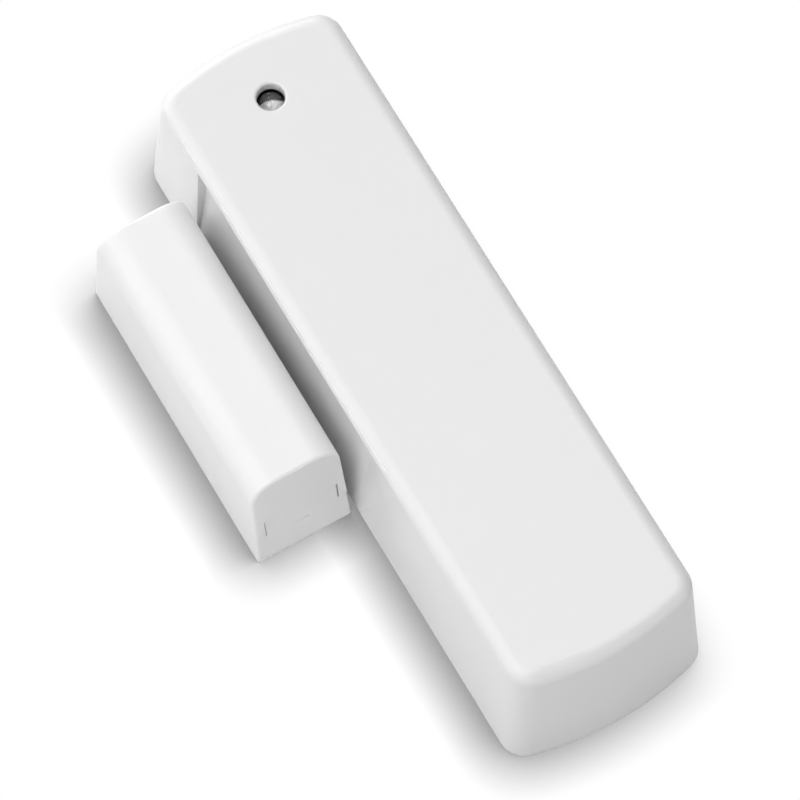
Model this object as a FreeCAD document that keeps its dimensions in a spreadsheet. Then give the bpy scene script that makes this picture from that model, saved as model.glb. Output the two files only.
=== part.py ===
import FreeCAD, Part
import math
import os
import Sketcher

# Door and window contact: a transmitter block and the magnet block that stands beside it.
# X runs across the blocks and away from the magnet, Y along them towards the light, Z up from the
# mounting faces. The origin is the centre of the transmitter's mounting face. Millimetres, degrees.

DRIVING_SIZES = {
    # Transmitter cover
    "body_width": 23.8,
    "body_length": 82.2,
    "body_height": 19.5,
    "side_draft": 3.4,
    "end_draft": 5.3,
    "end_radius": 37.0,
    "corner_radius": 2.8,
    "top_edge_radius": 1.65,
    "cover_wall": 1.5,
    "cover_top_wall": 1.5,
    # Recess that faces the magnet
    "recess_start": -6.9,
    "recess_length": 35.1,
    "recess_depth": 1.25,
    "recess_foot_depth": 0.06,
    "recess_lip_drop": 1.4,
    "recess_lip_rounding": 0.15,
    "recess_slope": 5.0,
    "recess_end_slope": 0.15,
    "recess_backing": 1.2,
    "recess_backing_reach": 4.0,
    "recess_backing_foot": 6.0,
    # Light
    "light_end_room": 9.3,
    "light_diameter": 2.9,
    "light_clearance": 0.1,
    "light_sink": 0.8,
    "light_hole_rounding": 0.3,
    "light_length": 5.3,
    "light_flange_diameter": 3.8,
    "light_flange_height": 1.0,
    "light_leg_pitch": 2.54,
    "light_leg_width": 0.5,
    # Base plate
    "plate_thickness": 1.6,
    "plate_clearance": 0.2,
    "plate_corner_radius": 1.2,
    "tape_thickness": 0.6,
    "tape_width": 15.0,
    "tape_end_room": 8.1,
    "tape_hole_diameter": 8.6,
    "screw_hole_diameter": 3.6,
    "screw_sink_depth": 0.9,
    "screw_spacing": 48.0,
    "hook_place": 24.0,
    "hook_width": 6.0,
    "hook_thickness": 1.1,
    "hook_reach": 0.5,
    "hook_height": 5.0,
    "hook_nib_height": 1.2,
    "hook_clearance": 0.15,
    "hook_nib_root": 0.3,
    "stiffener_spacing": 7.2,
    "stiffener_height": 1.5,
    "stiffener_end_room": 8.0,
    "pry_notch_width": 8.0,
    "pry_notch_height": 1.0,
    # Circuit board
    "board_headroom": 5.7,
    "board_thickness": 1.2,
    "board_width": 16.8,
    "board_shift": 0.5,
    "board_near_edge": -5.8,
    "board_end_room": 4.6,
    "board_corner_radius": 2.5,
    "board_hole_diameter": 2.0,
    "screw_side_inset": 3.1,
    "screw_end_inset": 2.8,
    "far_screw_room": 14.5,
    "boss_diameter": 4.2,
    "boss_pilot_diameter": 1.6,
    "boss_pilot_depth": 4.4,
    "board_screw_diameter": 1.5,
    "board_screw_head_diameter": 3.2,
    "board_screw_head_height": 1.1,
    "board_screw_length": 4.8,
    "screw_drive_width": 0.5,
    "screw_drive_length": 2.0,
    # Battery
    "cell_headroom": 0.4,
    "cell_rise": 0.1,
    "cell_end_room": 6.9,
    "cell_front": -7.2,
    "cell_nub_diameter": 5.6,
    "cell_nub_height": 1.0,
    "cell_wrap": 0.1,
    "cell_edge_radius": 0.7,
    "cell_shift": 0.6,
    "cradle_clearance": 0.2,
    "cradle_thickness": 1.2,
    "cradle_spacing": 15.0,
    "cradle_reach": 1.5,
    "saddle_width": 12.0,
    "saddle_height": 3.0,
    "saddle_clearance": 0.02,
    "contact_thickness": 0.4,
    "contact_width": 13.6,
    "contact_lift": 1.6,
    "contact_headroom": 2.5,
    "contact_tab_width": 4.0,
    "contact_tab_reach": 1.6,
    "contact_slot_clearance": 0.05,
    "rail_thickness": 0.6,
    "rail_overlap": 1.2,
    "spring_wire": 0.5,
    "spring_radius": 4.2,
    "spring_turns": 3.0,
    "spring_length": 2.3,
    "strap_width": 2.0,
    "strap_offset": 0.7,
    "strap_thickness": 0.3,
    "strap_clearance": 0.2,
    "strap_tab_length": 1.4,
    "strap_root": 1.0,
    # Reed switch
    "reed_shift": -6.0,
    "reed_place": 10.9,
    "reed_glass_diameter": 2.2,
    "reed_glass_bore": 1.6,
    "reed_glass_length": 14.0,
    "reed_lead_diameter": 0.5,
    "reed_lead_reach": 2.4,
    "reed_lead_bend": 0.7,
    "reed_seal_length": 1.6,
    "lead_tail": 0.6,
    "reed_blade_width": 1.1,
    "reed_blade_thickness": 0.2,
    "reed_blade_overlap": 1.2,
    "reed_blade_gap": 0.15,
    "reed_drop": 0.1,
    "reed_shoulder": 0.6,
    "reed_blade_root": 0.4,
    # Small parts of the board
    "radio_width": 10.0,
    "radio_length": 12.0,
    "radio_thickness": 0.8,
    "radio_shift": 2.5,
    "radio_near_edge": 1.0,
    "can_width": 8.0,
    "can_length": 9.0,
    "can_height": 1.8,
    "can_wall": 0.25,
    "can_vent_diameter": 1.0,
    "chip_width": 3.9,
    "chip_length": 8.7,
    "chip_height": 1.4,
    "chip_lift": 0.15,
    "chip_shift": -1.05,
    "chip_near_edge": 14.6,
    "chip_bevel": 0.2,
    "chip_mark_inset": 0.8,
    "chip_mark_diameter": 0.7,
    "chip_mark_depth": 0.12,
    "chip_leg_count": 7.0,
    "chip_leg_pitch": 1.27,
    "chip_leg_width": 0.42,
    "chip_leg_reach": 1.0,
    "chip_leg_thickness": 0.2,
    "crystal_width": 4.6,
    "crystal_length": 11.0,
    "crystal_height": 3.5,
    "crystal_shift": -4.4,
    "crystal_place": 14.0,
    "crystal_edge": 0.5,
    "capacitor_width": 1.25,
    "capacitor_length": 2.0,
    "capacitor_height": 0.9,
    "capacitor_pitch": 3.0,
    "capacitor_row_room": 3.7,
    "capacitor_inset": 1.7,
    "capacitor_column_pitch": 2.6,
    "chip_capacitor_room": 4.5,
    "resistor_width": 0.8,
    "resistor_length": 1.6,
    "resistor_height": 0.45,
    "resistor_pitch": 1.6,
    "resistor_inset": 1.3,
    "resistor_row_room": 2.5,
    "resistor_near_room": 3.6,
    "resistor_near_shift": 0.9,
    "antenna_wire": 0.6,
    "antenna_radius": 2.0,
    "antenna_clearance": 0.02,
    "antenna_screw_room": 4.5,
    "antenna_turns": 7.0,
    "antenna_shift": 5.6,
    "antenna_start": 3.5,
    "tamper_shift": 4.65,
    "tamper_width": 2.5,
    "tamper_thickness": 0.25,
    "tamper_end_room": 10.9,
    "tamper_foot_length": 3.0,
    "tamper_reach": 5.0,
    "tamper_drop": 3.0,
    "tamper_flat": 0.4,
    "tamper_curl": 1.6,
    "tamper_post_diameter": 3.0,
    # Magnet block
    "pair_gap": 0.65,
    "magnet_place": 11.1,
    "block_width": 11.6,
    "block_length": 36.3,
    "block_height": 17.2,
    "block_side_draft": 1.9,
    "block_end_draft": 5.6,
    "block_shoulder": 3.2,
    "block_edge_rounding": 0.35,
    "block_wall": 1.2,
    "block_seam_height": 5.5,
    "block_base_inset": 0.08,
    "block_floor": 1.4,
    "latch_half_width": 4.43,
    "latch_shift": 0.12,
    "latch_height": 3.4,
    "latch_slit": 0.16,
    "latch_gap": 0.1,
    "latch_notch_width": 1.7,
    "latch_notch_height": 0.18,
    "latch_notch_drop": 0.6,
    "latch_notch_depth": 0.15,
    "magnet_width": 6.0,
    "magnet_length": 28.0,
    "magnet_height": 6.0,
    "magnet_level": 5.0,
    "magnet_fit": 0.05,
    "magnet_edge": 0.4,
    "saddle_thickness": 1.2,
    "saddle_spacing": 18.0,
    "saddle_grip": 2.6,
    "saddle_side_clearance": 0.35,
    "block_tape_width": 7.0,
    "block_tape_length": 29.0,
    "block_screw_diameter": 3.2,
    "block_screw_spacing": 10.0,
    "block_tape_hole_margin": 0.4,
    "block_sink_land": 0.2,
    # How far a rib is sunk into its wall, and how far a cut runs on past the solid
    "root_sink": 0.2,
    "cut_margin": 1.0,
}

doc = FreeCAD.newDocument("door_window_contact")
sheet = doc.addObject("Spreadsheet::Sheet", "Sizes")
for row, (alias, number) in enumerate(DRIVING_SIZES.items(), start=1):
    sheet.set(f"A{row}", alias)
    sheet.set(f"B{row}", str(number))
    sheet.setAlias(f"B{row}", alias)
doc.recompute()


class Size:
    """A length worked out from the sheet: its value now, and the expression that keeps it bound."""

    def __init__(self, value, text):
        self.value = float(value)
        self.text = text

    def __add__(self, other):
        other = as_size(other)
        return Size(self.value + other.value, f"({self.text} + {other.text})")

    def __sub__(self, other):
        other = as_size(other)
        return Size(self.value - other.value, f"({self.text} - {other.text})")

    def __mul__(self, other):
        other = as_size(other)
        return Size(self.value * other.value, f"({self.text} * {other.text})")

    def __truediv__(self, other):
        other = as_size(other)
        return Size(self.value / other.value, f"({self.text} / {other.text})")

    def __rsub__(self, other):
        return as_size(other) - self

    def __neg__(self):
        return Size(-self.value, f"(0 - {self.text})")

    __radd__ = __add__
    __rmul__ = __mul__


def as_size(number):
    """Wraps a bare number, and leaves a Size as it is."""
    return number if isinstance(number, Size) else Size(number, repr(float(number)))


def size(alias):
    """A driving dimension of the sheet."""
    return Size(sheet.get(alias), f"Sizes.{alias}")


def tan(angle):
    return Size(math.tan(math.radians(angle.value)), f"tan({angle.text})")


def root(number):
    return Size(math.sqrt(number.value), f"sqrt({number.text})")


def bind(thing, name, length):
    """Ties one property of a feature to the sheet."""
    thing.setExpression(name, as_size(length).text)


# Sketches and the features made from them


def new_body(name):
    """A sub-part: one body, whose label is the node's name."""
    body = doc.addObject("PartDesign::Body", name)
    body.Label = name
    return body


def origin_feature(body, role):
    return next(f for f in body.Origin.OriginFeatures if f.Role == role)


def new_sketch(body, plane, offset=0.0):
    """A sketch on one of the body's own planes, moved along that plane's normal."""
    sketch = body.newObject("Sketcher::SketchObject", f"{body.Label}_sketch")
    sketch.AttachmentSupport = [(origin_feature(body, plane), "")]
    sketch.MapMode = "FlatFace"
    shift = FreeCAD.Vector(0, 0, as_size(offset).value)
    sketch.AttachmentOffset = FreeCAD.Placement(shift, FreeCAD.Rotation())
    bind(sketch, "AttachmentOffset.Base.z", offset)
    return sketch


def constrain(sketch, kind, target, length):
    """Adds one driving constraint and ties it to the sheet."""
    number = sketch.addConstraint(Sketcher.Constraint(kind, *target, as_size(length).value))
    bind(sketch, f"Constraints[{number}]", length)


def place_point(sketch, geometry, position, x, y):
    constrain(sketch, "DistanceX", (-1, 1, geometry, position), x)
    constrain(sketch, "DistanceY", (-1, 1, geometry, position), y)


def draw_outline(sketch, corners, arcs=None):
    """A closed outline, anticlockwise. arcs gives the radius of each side that bulges outwards."""
    arcs = arcs or {}
    first = sketch.GeometryCount
    count = len(corners)
    points = [FreeCAD.Vector(as_size(x).value, as_size(y).value, 0) for x, y in corners]
    for k in range(count):
        start = points[k]
        end = points[(k + 1) % count]
        if k not in arcs:
            sketch.addGeometry(Part.LineSegment(start, end))
            continue
        radius = arcs[k].value
        chord = end - start
        rise = math.sqrt(radius ** 2 - chord.Length ** 2 / 4)
        left = FreeCAD.Vector(-chord.y, chord.x, 0) / chord.Length
        centre = (start + end) / 2 + left * rise
        circle = Part.Circle(centre, FreeCAD.Vector(0, 0, 1), radius)
        begin_angle = math.atan2(start.y - centre.y, start.x - centre.x)
        end_angle = math.atan2(end.y - centre.y, end.x - centre.x)
        if end_angle < begin_angle:
            end_angle += 2 * math.pi
        sketch.addGeometry(Part.ArcOfCircle(circle, begin_angle, end_angle))
    for k in range(count):
        sketch.addConstraint(Sketcher.Constraint("Coincident", first + k, 2, first + (k + 1) % count, 1))
    for k, (x, y) in enumerate(corners):
        place_point(sketch, first + k, 1, x, y)
    for k, radius in arcs.items():
        constrain(sketch, "Radius", (first + k,), radius)


def draw_rectangle(sketch, x0, x1, y0, y1):
    draw_outline(sketch, [(x0, y0), (x1, y0), (x1, y1), (x0, y1)])


def draw_circle(sketch, x, y, radius):
    number = sketch.GeometryCount
    centre = FreeCAD.Vector(as_size(x).value, as_size(y).value, 0)
    sketch.addGeometry(Part.Circle(centre, FreeCAD.Vector(0, 0, 1), as_size(radius).value))
    place_point(sketch, number, 3, x, y)
    constrain(sketch, "Radius", (number,), radius)


def extrude(body, kind, sketch, length):
    """A Pad, or a Pocket that is turned to go the same way as a Pad would: along the sketch's normal."""
    feature = body.newObject(f"PartDesign::{kind}", f"{body.Label}_{kind.lower()}")
    feature.Profile = sketch
    feature.Length = as_size(length).value
    bind(feature, "Length", length)
    if kind == "Pocket":
        feature.Reversed = True
    return feature


def box_feature(body, kind, x0, x1, y0, y1, z0, z1):
    """A block added to the body or cut from it."""
    sketch = new_sketch(body, "XY_Plane", z0)
    draw_rectangle(sketch, x0, x1, y0, y1)
    return extrude(body, kind, sketch, as_size(z1) - z0)


def round_feature(body, kind, x, y, radius, z0, z1):
    """An upright cylinder added to the body or cut from it."""
    sketch = new_sketch(body, "XY_Plane", z0)
    draw_circle(sketch, x, y, radius)
    return extrude(body, kind, sketch, as_size(z1) - z0)


def lying_feature(body, kind, x, z, radius, y0, y1):
    """A cylinder along Y added to the body or cut from it. The XZ plane's normal is -Y."""
    sketch = new_sketch(body, "XZ_Plane", -as_size(y1))
    draw_circle(sketch, x, z, radius)
    return extrude(body, kind, sketch, as_size(y1) - y0)


def loft(body, kind, lower, upper):
    feature = body.newObject(f"PartDesign::{kind}Loft", f"{body.Label}_loft")
    feature.Profile = lower
    feature.Sections = [upper]
    feature.Ruled = True
    return feature


def edges_where(feature, test):
    """Names of the edges that pass the test."""
    doc.recompute()
    return [f"Edge{k + 1}" for k, edge in enumerate(feature.Shape.Edges) if test(edge)]


def round_edges(body, feature, test, radius):
    edge_names = edges_where(feature, test)
    if not edge_names:
        raise RuntimeError(f"no edge of {body.Label} to round")
    fillet = body.newObject("PartDesign::Fillet", f"{body.Label}_fillet")
    fillet.Base = (feature, edge_names)
    fillet.Radius = as_size(radius).value
    bind(fillet, "Radius", radius)
    return fillet


def bevel_edges(body, feature, test, width):
    chamfer = body.newObject("PartDesign::Chamfer", f"{body.Label}_chamfer")
    chamfer.Base = (feature, edges_where(feature, test))
    chamfer.Size = as_size(width).value
    bind(chamfer, "Size", width)
    return chamfer


def spin(body, kind, sketch, axis="Z_Axis"):
    feature = body.newObject(f"PartDesign::{kind}", f"{body.Label}_{kind.lower()}")
    feature.Profile = sketch
    feature.ReferenceAxis = (origin_feature(body, axis), [""])
    feature.Angle = 360
    return feature


def move(body, x=0.0, y=0.0, z=0.0, rotation=None):
    """Puts a finished sub-part in its place."""
    vector = FreeCAD.Vector(as_size(x).value, as_size(y).value, as_size(z).value)
    body.Placement = FreeCAD.Placement(vector, rotation or FreeCAD.Rotation())
    for axis, length in (("x", x), ("y", y), ("z", z)):
        bind(body, f"Placement.Base.{axis}", length)


def gather(name, pieces):
    """One node that holds several like solids."""
    group = doc.addObject("Part::Compound", name)
    group.Label = name
    group.Links = pieces
    return group


def upright(edge):
    ends = [v.Point for v in edge.Vertexes]
    return len(ends) == 2 and abs(ends[0].z - ends[1].z) > 0.9 * edge.Length


def at_height(edge, height):
    box = edge.BoundBox
    return abs(box.ZMin - height) < 0.02 and abs(box.ZMax - height) < 0.02


# Places that several sub-parts share

half_width = size("body_width") / 2
half_length = size("body_length") / 2
side_lean = tan(size("side_draft"))
end_lean = tan(size("end_draft"))
ceiling = size("body_height") - size("cover_top_wall")
lip_height = size("body_height") - size("recess_lip_drop")
plate_top = size("plate_thickness")
board_top = ceiling - size("board_headroom")
board_bottom = board_top - size("board_thickness")
board_left = size("board_shift") - size("board_width") / 2
board_right = size("board_shift") + size("board_width") / 2
board_far_edge = half_length - size("board_end_room")
light_place = half_length - size("light_end_room")
cell_centre_height = (plate_top + ceiling) / 2 + size("cell_rise")
cell_radius = (ceiling - plate_top) / 2 - size("cell_headroom")
cell_near_end = size("cell_end_room") - half_length
cell_front = size("cell_front")
cradle_middle = (cell_near_end + cell_front) / 2
cradle_places = [cradle_middle - size("cradle_spacing") / 2, cradle_middle + size("cradle_spacing") / 2]
contact_foot = plate_top + size("contact_lift")
contact_top = ceiling - size("contact_headroom")
front_contact_place = cell_front
rear_contact_place = cell_near_end - size("spring_length") - size("contact_thickness")
contact_left = size("cell_shift") - size("contact_width") / 2
contact_right = size("cell_shift") + size("contact_width") / 2
strap_left = contact_right + size("strap_offset")
strap_foot = contact_top - size("strap_width")
contact_tab_end = size("board_near_edge") + size("contact_tab_reach")
far_screw_place = board_far_edge - size("far_screw_room")
screw_places = [
    (board_right - size("screw_side_inset"), size("board_near_edge") + size("screw_end_inset")),
    (board_left + size("screw_side_inset"), size("board_near_edge") + size("screw_end_inset")),
    (board_right - size("screw_side_inset"), far_screw_place),
]
light_top = size("body_height") - size("light_sink")
light_bottom = light_top - size("light_length")
recess_end = size("recess_start") + size("recess_length")
wall_at_lip = half_width - lip_height * side_lean
tape_length = size("body_length") - 2 * size("tape_end_room")
hook_outer = half_width - size("cover_wall") - size("hook_height") * side_lean - size("hook_clearance")
reed_neck = size("reed_glass_length") / 2 - size("reed_seal_length")
tamper_foot_start = board_far_edge - size("tamper_end_room")
tamper_tip_place = tamper_foot_start + size("tamper_foot_length") + size("tamper_reach")
tamper_tip_height = board_bottom - size("tamper_thickness") - size("tamper_drop")


def bowed_outline(sketch, inset, height, corner_radius=None):
    """The transmitter's outline at a height: long sides, and ends that are shallow arcs."""
    x = half_width - inset - as_size(height) * side_lean
    y = half_length - inset - as_size(height) * end_lean
    radius = size("end_radius") - inset
    if corner_radius is None:
        corner = y - radius + root(radius * radius - x * x)
        corners = [(x, -corner), (x, corner), (-x, corner), (-x, -corner)]
        draw_outline(sketch, corners, {1: radius, 3: radius})
        return
    centre = y - radius
    inner = radius - corner_radius
    side = x - corner_radius
    turn = centre + root(inner * inner - side * side)
    meet_x = side * radius / inner
    meet_y = centre + (turn - centre) * radius / inner
    corners = [
        (x, -turn), (x, turn), (meet_x, meet_y), (-meet_x, meet_y),
        (-x, turn), (-x, -turn), (-meet_x, -meet_y), (meet_x, -meet_y),
    ]
    bends = {1: corner_radius, 2: radius, 3: corner_radius, 5: corner_radius, 6: radius, 7: corner_radius}
    draw_outline(sketch, corners, bends)


def lean(body, feature, test, angle):
    """Tapers the faces that pass the test, hinged at the mounting face."""
    doc.recompute()
    draft = body.newObject("PartDesign::Draft", f"{body.Label}_draft")
    draft.Base = (feature, [f"Face{k + 1}" for k, face in enumerate(feature.Shape.Faces) if test(face)])
    draft.NeutralPlane = (origin_feature(body, "XY_Plane"), [""])
    draft.Angle = angle.value
    bind(draft, "Angle", angle)
    return draft


def faces_sideways(face):
    return face.BoundBox.XLength < 0.01 or abs(face.normalAt(0, 0).x) > 0.99


def faces_endways(face):
    middle = sum(face.ParameterRange[:2]) / 2
    return abs(face.normalAt(middle, 0).y) > 0.9


# Transmitter cover

def make_sensor_cover():
    body = new_body("sensor_cover")
    sketch = new_sketch(body, "XY_Plane")
    bowed_outline(sketch, as_size(0), 0)
    block = extrude(body, "Pad", sketch, size("body_height"))
    block = lean(body, block, faces_sideways, size("side_draft"))
    block = lean(body, block, faces_endways, size("end_draft"))
    block = round_edges(body, block, upright, size("corner_radius"))
    height = size("body_height").value
    round_edges(body, block, lambda e: at_height(e, height), size("top_edge_radius"))
    sections = []
    for level in (as_size(0), ceiling):
        section = new_sketch(body, "XY_Plane", level)
        bowed_outline(section, size("cover_wall"), level, size("corner_radius") - size("cover_wall"))
        sections.append(section)
    loft(body, "Subtractive", *sections)
    add_recess(body)
    add_cover_inside(body)
    add_light_hole(body)
    return body


def add_recess(body):
    """The shallow scoop under the lip: its back leans out to meet the wall at the foot. A long ramp
    leads in at the near end, and the far end is a plain step."""
    root_depth = size("cover_wall") * 0.6
    outer = half_width - size("cover_wall") * 0.85
    inner = half_width - lip_height * side_lean - size("recess_depth") - size("recess_backing")
    reach = size("recess_backing_reach")
    box_feature(
        body, "Pad", -outer, -inner, size("recess_start") - reach, recess_end + reach,
        size("recess_backing_foot"), ceiling + root_depth,
    )
    sketches = []
    outside = half_width + size("cut_margin")
    for level, depth in ((as_size(0), size("recess_foot_depth")), (lip_height, size("recess_depth"))):
        wall = -(half_width - level * side_lean)
        ramp_start = size("recess_start") - depth * size("recess_slope")
        step_end = recess_end + depth * size("recess_end_slope")
        sketch = new_sketch(body, "XY_Plane", level)
        draw_outline(sketch, [
            (wall + depth, size("recess_start")), (wall + depth, recess_end), (wall, step_end),
            (-outside, step_end), (-outside, ramp_start), (wall, ramp_start),
        ])
        sketches.append(sketch)
    cut = loft(body, "Subtractive", *sketches)
    top = lip_height.value
    long_edge = (size("recess_length") * 0.8).value
    round_edges(
        body, cut, lambda e: at_height(e, top) and e.BoundBox.YLength > long_edge
        and e.BoundBox.XMin < -(wall_at_lip.value - 0.3), size("recess_lip_rounding"),
    )


def add_cover_inside(body):
    """Screw bosses, cell cradle, contact rails, hook pockets and the pry notch."""
    root_depth = size("cover_top_wall") * 0.3
    side_reach = half_width - size("cover_wall")
    for x, y in screw_places:
        round_feature(body, "Pad", x, y, size("boss_diameter") / 2, board_top, ceiling + root_depth)
        round_feature(
            body, "Pocket", x, y, size("boss_pilot_diameter") / 2, board_top,
            board_top + size("boss_pilot_depth"),
        )
    half_rib = size("cradle_thickness") / 2
    for place in cradle_places:
        box_feature(
            body, "Pad", -side_reach, side_reach, place - half_rib, place + half_rib,
            cell_centre_height - size("cradle_reach"), ceiling + root_depth,
        )
    lying_feature(
        body, "Pocket", size("cell_shift"), cell_centre_height, cell_radius + size("cradle_clearance"),
        cradle_places[0] - size("cradle_thickness"), cradle_places[1] + size("cradle_thickness"),
    )
    add_contact_rails(body, ceiling + root_depth)
    add_hook_pockets(body)
    box_feature(
        body, "Pocket", -size("pry_notch_width") / 2, size("pry_notch_width") / 2,
        half_length - size("cover_wall") - size("cut_margin"), half_length + size("cut_margin"),
        as_size(0), size("pry_notch_height"),
    )


def add_contact_rails(body, top):
    """Two pairs of slotted rails that hold the contact plates upright."""
    overlap = size("rail_overlap")
    fit = size("contact_slot_clearance")
    gap = size("strap_clearance")
    thickness = size("contact_thickness")
    rail = size("rail_thickness")
    for place in (rear_contact_place, front_contact_place):
        for x0, x1 in (
            (contact_left - rail, contact_left + overlap), (contact_right - overlap, contact_right + rail),
        ):
            box_feature(
                body, "Pad", x0, x1, place - rail, place + thickness + rail,
                contact_foot, top,
            )
        box_feature(
            body, "Pocket", contact_left - fit, contact_right + fit, place - fit, place + thickness + fit,
            contact_foot, contact_top + fit,
        )
    box_feature(
        body, "Pocket", contact_right + fit, strap_left + size("strap_thickness") + gap,
        rear_contact_place - fit, front_contact_place + thickness + 2 * rail,
        strap_foot - gap, contact_top + gap,
    )


def add_hook_pockets(body):
    """Shallow pockets inside the long walls, where the base's hooks catch."""
    nib_foot = size("hook_height") - size("hook_nib_height")
    inner = hook_outer - size("hook_nib_root")
    outer = hook_outer + size("hook_reach") + size("hook_clearance")
    half_hook = size("hook_width") / 2 + 2 * size("hook_clearance")
    for side in (-1, 1):
        for place in (-size("hook_place"), size("hook_place")):
            x0, x1 = (inner, outer) if side > 0 else (-outer, -inner)
            box_feature(
                body, "Pocket", x0, x1, place - half_hook, place + half_hook,
                nib_foot - size("hook_clearance"), size("hook_height") + size("hook_clearance"),
            )


def add_light_hole(body):
    radius = size("light_diameter") / 2 + size("light_clearance")
    hole = round_feature(
        body, "Pocket", as_size(0), light_place, radius, ceiling - size("cut_margin"),
        size("body_height") + size("cut_margin"),
    )
    height = size("body_height").value
    rim = 2 * math.pi * radius.value
    round_edges(
        body, hole, lambda e: at_height(e, height) and abs(e.Length - rim) < 0.1, size("light_hole_rounding"),
    )


# Transmitter base plate and its tape

def make_sensor_base():
    body = new_body("sensor_base")
    inset = size("cover_wall") + size("plate_clearance")
    sketch = new_sketch(body, "XY_Plane")
    bowed_outline(sketch, inset, plate_top, size("plate_corner_radius"))
    extrude(body, "Pad", sketch, plate_top)
    box_feature(
        body, "Pocket", -size("tape_width") / 2, size("tape_width") / 2, -tape_length / 2,
        tape_length / 2, as_size(0), size("tape_thickness"),
    )
    add_screw_holes(
        body, size("screw_hole_diameter") / 2, size("screw_spacing") / 2, plate_top, size("screw_sink_depth"),
    )
    add_cell_saddles(body)
    add_hooks(body)
    half_rib = size("rail_thickness") / 2
    for x in (-size("stiffener_spacing") / 2, size("stiffener_spacing") / 2):
        box_feature(
            body, "Pad", x - half_rib, x + half_rib, size("board_near_edge"),
            board_far_edge - size("stiffener_end_room"), plate_top - size("root_sink"),
            plate_top + size("stiffener_height"),
        )
    round_feature(
        body, "Pad", size("tamper_shift"), tamper_tip_place, size("tamper_post_diameter") / 2,
        plate_top - size("root_sink"), tamper_tip_height,
    )
    return body


def add_screw_holes(body, radius, place, top, sink):
    """Two countersunk holes for the wall screws."""
    for y in (-place, place):
        hole = round_feature(body, "Pocket", as_size(0), y, radius, as_size(0), top)
        rim = 2 * math.pi * radius.value
        bevel_edges(
            body, hole,
            lambda e, y=y: at_height(e, top.value) and abs(e.Length - rim) < 0.05
            and abs(e.CenterOfMass.y - y.value) < 0.1,
            sink,
        )


def add_cell_saddles(body):
    """Two low ribs under the cell."""
    half_rib = size("cradle_thickness") / 2
    reach = size("saddle_width") / 2
    for place in cradle_places:
        box_feature(
            body, "Pad", size("cell_shift") - reach, size("cell_shift") + reach, place - half_rib,
            place + half_rib, plate_top - size("root_sink"), plate_top + size("saddle_height"),
        )
    lying_feature(
        body, "Pocket", size("cell_shift"), cell_centre_height, cell_radius + size("saddle_clearance"),
        cradle_places[0] - size("cradle_thickness"), cradle_places[1] + size("cradle_thickness"),
    )


def add_hooks(body):
    """Four spring tongues with nibs along the long sides."""
    half_hook = size("hook_width") / 2
    nib_foot = size("hook_height") - size("hook_nib_height")
    for side in (-1, 1):
        for place in (-size("hook_place"), size("hook_place")):
            inner = hook_outer - size("hook_thickness")
            outer = hook_outer + size("hook_reach")
            stem = (inner, hook_outer) if side > 0 else (-hook_outer, -inner)
            root_place = hook_outer - size("hook_nib_root")
            nib = (root_place, outer) if side > 0 else (-outer, -root_place)
            for (x0, x1), foot in ((stem, plate_top - size("root_sink")), (nib, nib_foot)):
                box_feature(
                    body, "Pad", x0, x1, place - half_hook, place + half_hook, foot, size("hook_height"),
                )


def make_tape(name, width, length, thickness, hole_radius, hole_place):
    body = new_body(name)
    box_feature(body, "Pad", -width / 2, width / 2, -length / 2, length / 2, as_size(0), thickness)
    for y in (-hole_place, hole_place):
        round_feature(body, "Pocket", as_size(0), y, hole_radius, as_size(0), thickness)
    return body


# Circuit board and what is soldered to it

def make_circuit_board():
    body = new_body("circuit_board")
    board = box_feature(
        body, "Pad", board_left, board_right, size("board_near_edge"), board_far_edge,
        board_bottom, board_top,
    )
    far = board_far_edge.value - 1
    round_edges(
        body, board, lambda e: upright(e) and e.CenterOfMass.y > far, size("board_corner_radius"),
    )
    for x, y in screw_places:
        round_feature(body, "Pocket", x, y, size("board_hole_diameter") / 2, board_bottom, board_top)
    for x in (-size("light_leg_pitch") / 2, size("light_leg_pitch") / 2):
        round_feature(
            body, "Pocket", x, light_place, size("light_leg_width") * 0.85, board_bottom, board_top,
        )
    for y in reed_lead_places():
        round_feature(
            body, "Pocket", size("reed_shift"), y, size("reed_lead_diameter") * 0.7, board_bottom, board_top,
        )
    return body


def reed_lead_places():
    reach = size("reed_glass_length") / 2 + size("reed_lead_reach")
    return [size("reed_place") - reach, size("reed_place") + reach]


def make_board_screws():
    """Self-tapping screws, driven from below: head under the board, shank up in the boss."""
    screws = []
    for number, (x, y) in enumerate(screw_places, start=1):
        body = new_body(f"board_screw_{number}")
        head = size("board_screw_head_diameter") / 2
        round_feature(body, "Pad", 0, 0, head, -size("board_screw_head_height"), as_size(0))
        shank = round_feature(
            body, "Pad", 0, 0, size("board_screw_diameter") / 2, as_size(0), size("board_screw_length"),
        )
        tip = size("board_screw_length").value
        bevel_edges(body, shank, lambda e: at_height(e, tip), size("board_screw_diameter") * 0.3)
        drive = size("screw_drive_length") / 2
        slot = size("screw_drive_width") / 2
        depth = size("board_screw_head_height") * 0.5
        foot = -size("board_screw_head_height")
        box_feature(body, "Pocket", -drive, drive, -slot, slot, foot, foot + depth)
        box_feature(body, "Pocket", -slot, slot, -drive, drive, foot, foot + depth)
        move(body, x, y, board_bottom)
        screws.append(body)
    return gather("board_screws", screws)


def make_led_lens():
    body = new_body("led_lens")
    radius = size("light_diameter") / 2
    sketch = new_sketch(body, "XZ_Plane")
    shoulder = size("light_length") - radius
    draw_outline(sketch, [
        (as_size(0), as_size(0)),
        (size("light_flange_diameter") / 2, as_size(0)),
        (size("light_flange_diameter") / 2, size("light_flange_height")),
        (radius, size("light_flange_height")),
        (radius, shoulder),
        (as_size(0), size("light_length")),
    ], {4: radius})
    spin(body, "Revolution", sketch)
    move(body, 0, light_place, light_bottom)
    return body


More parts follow.
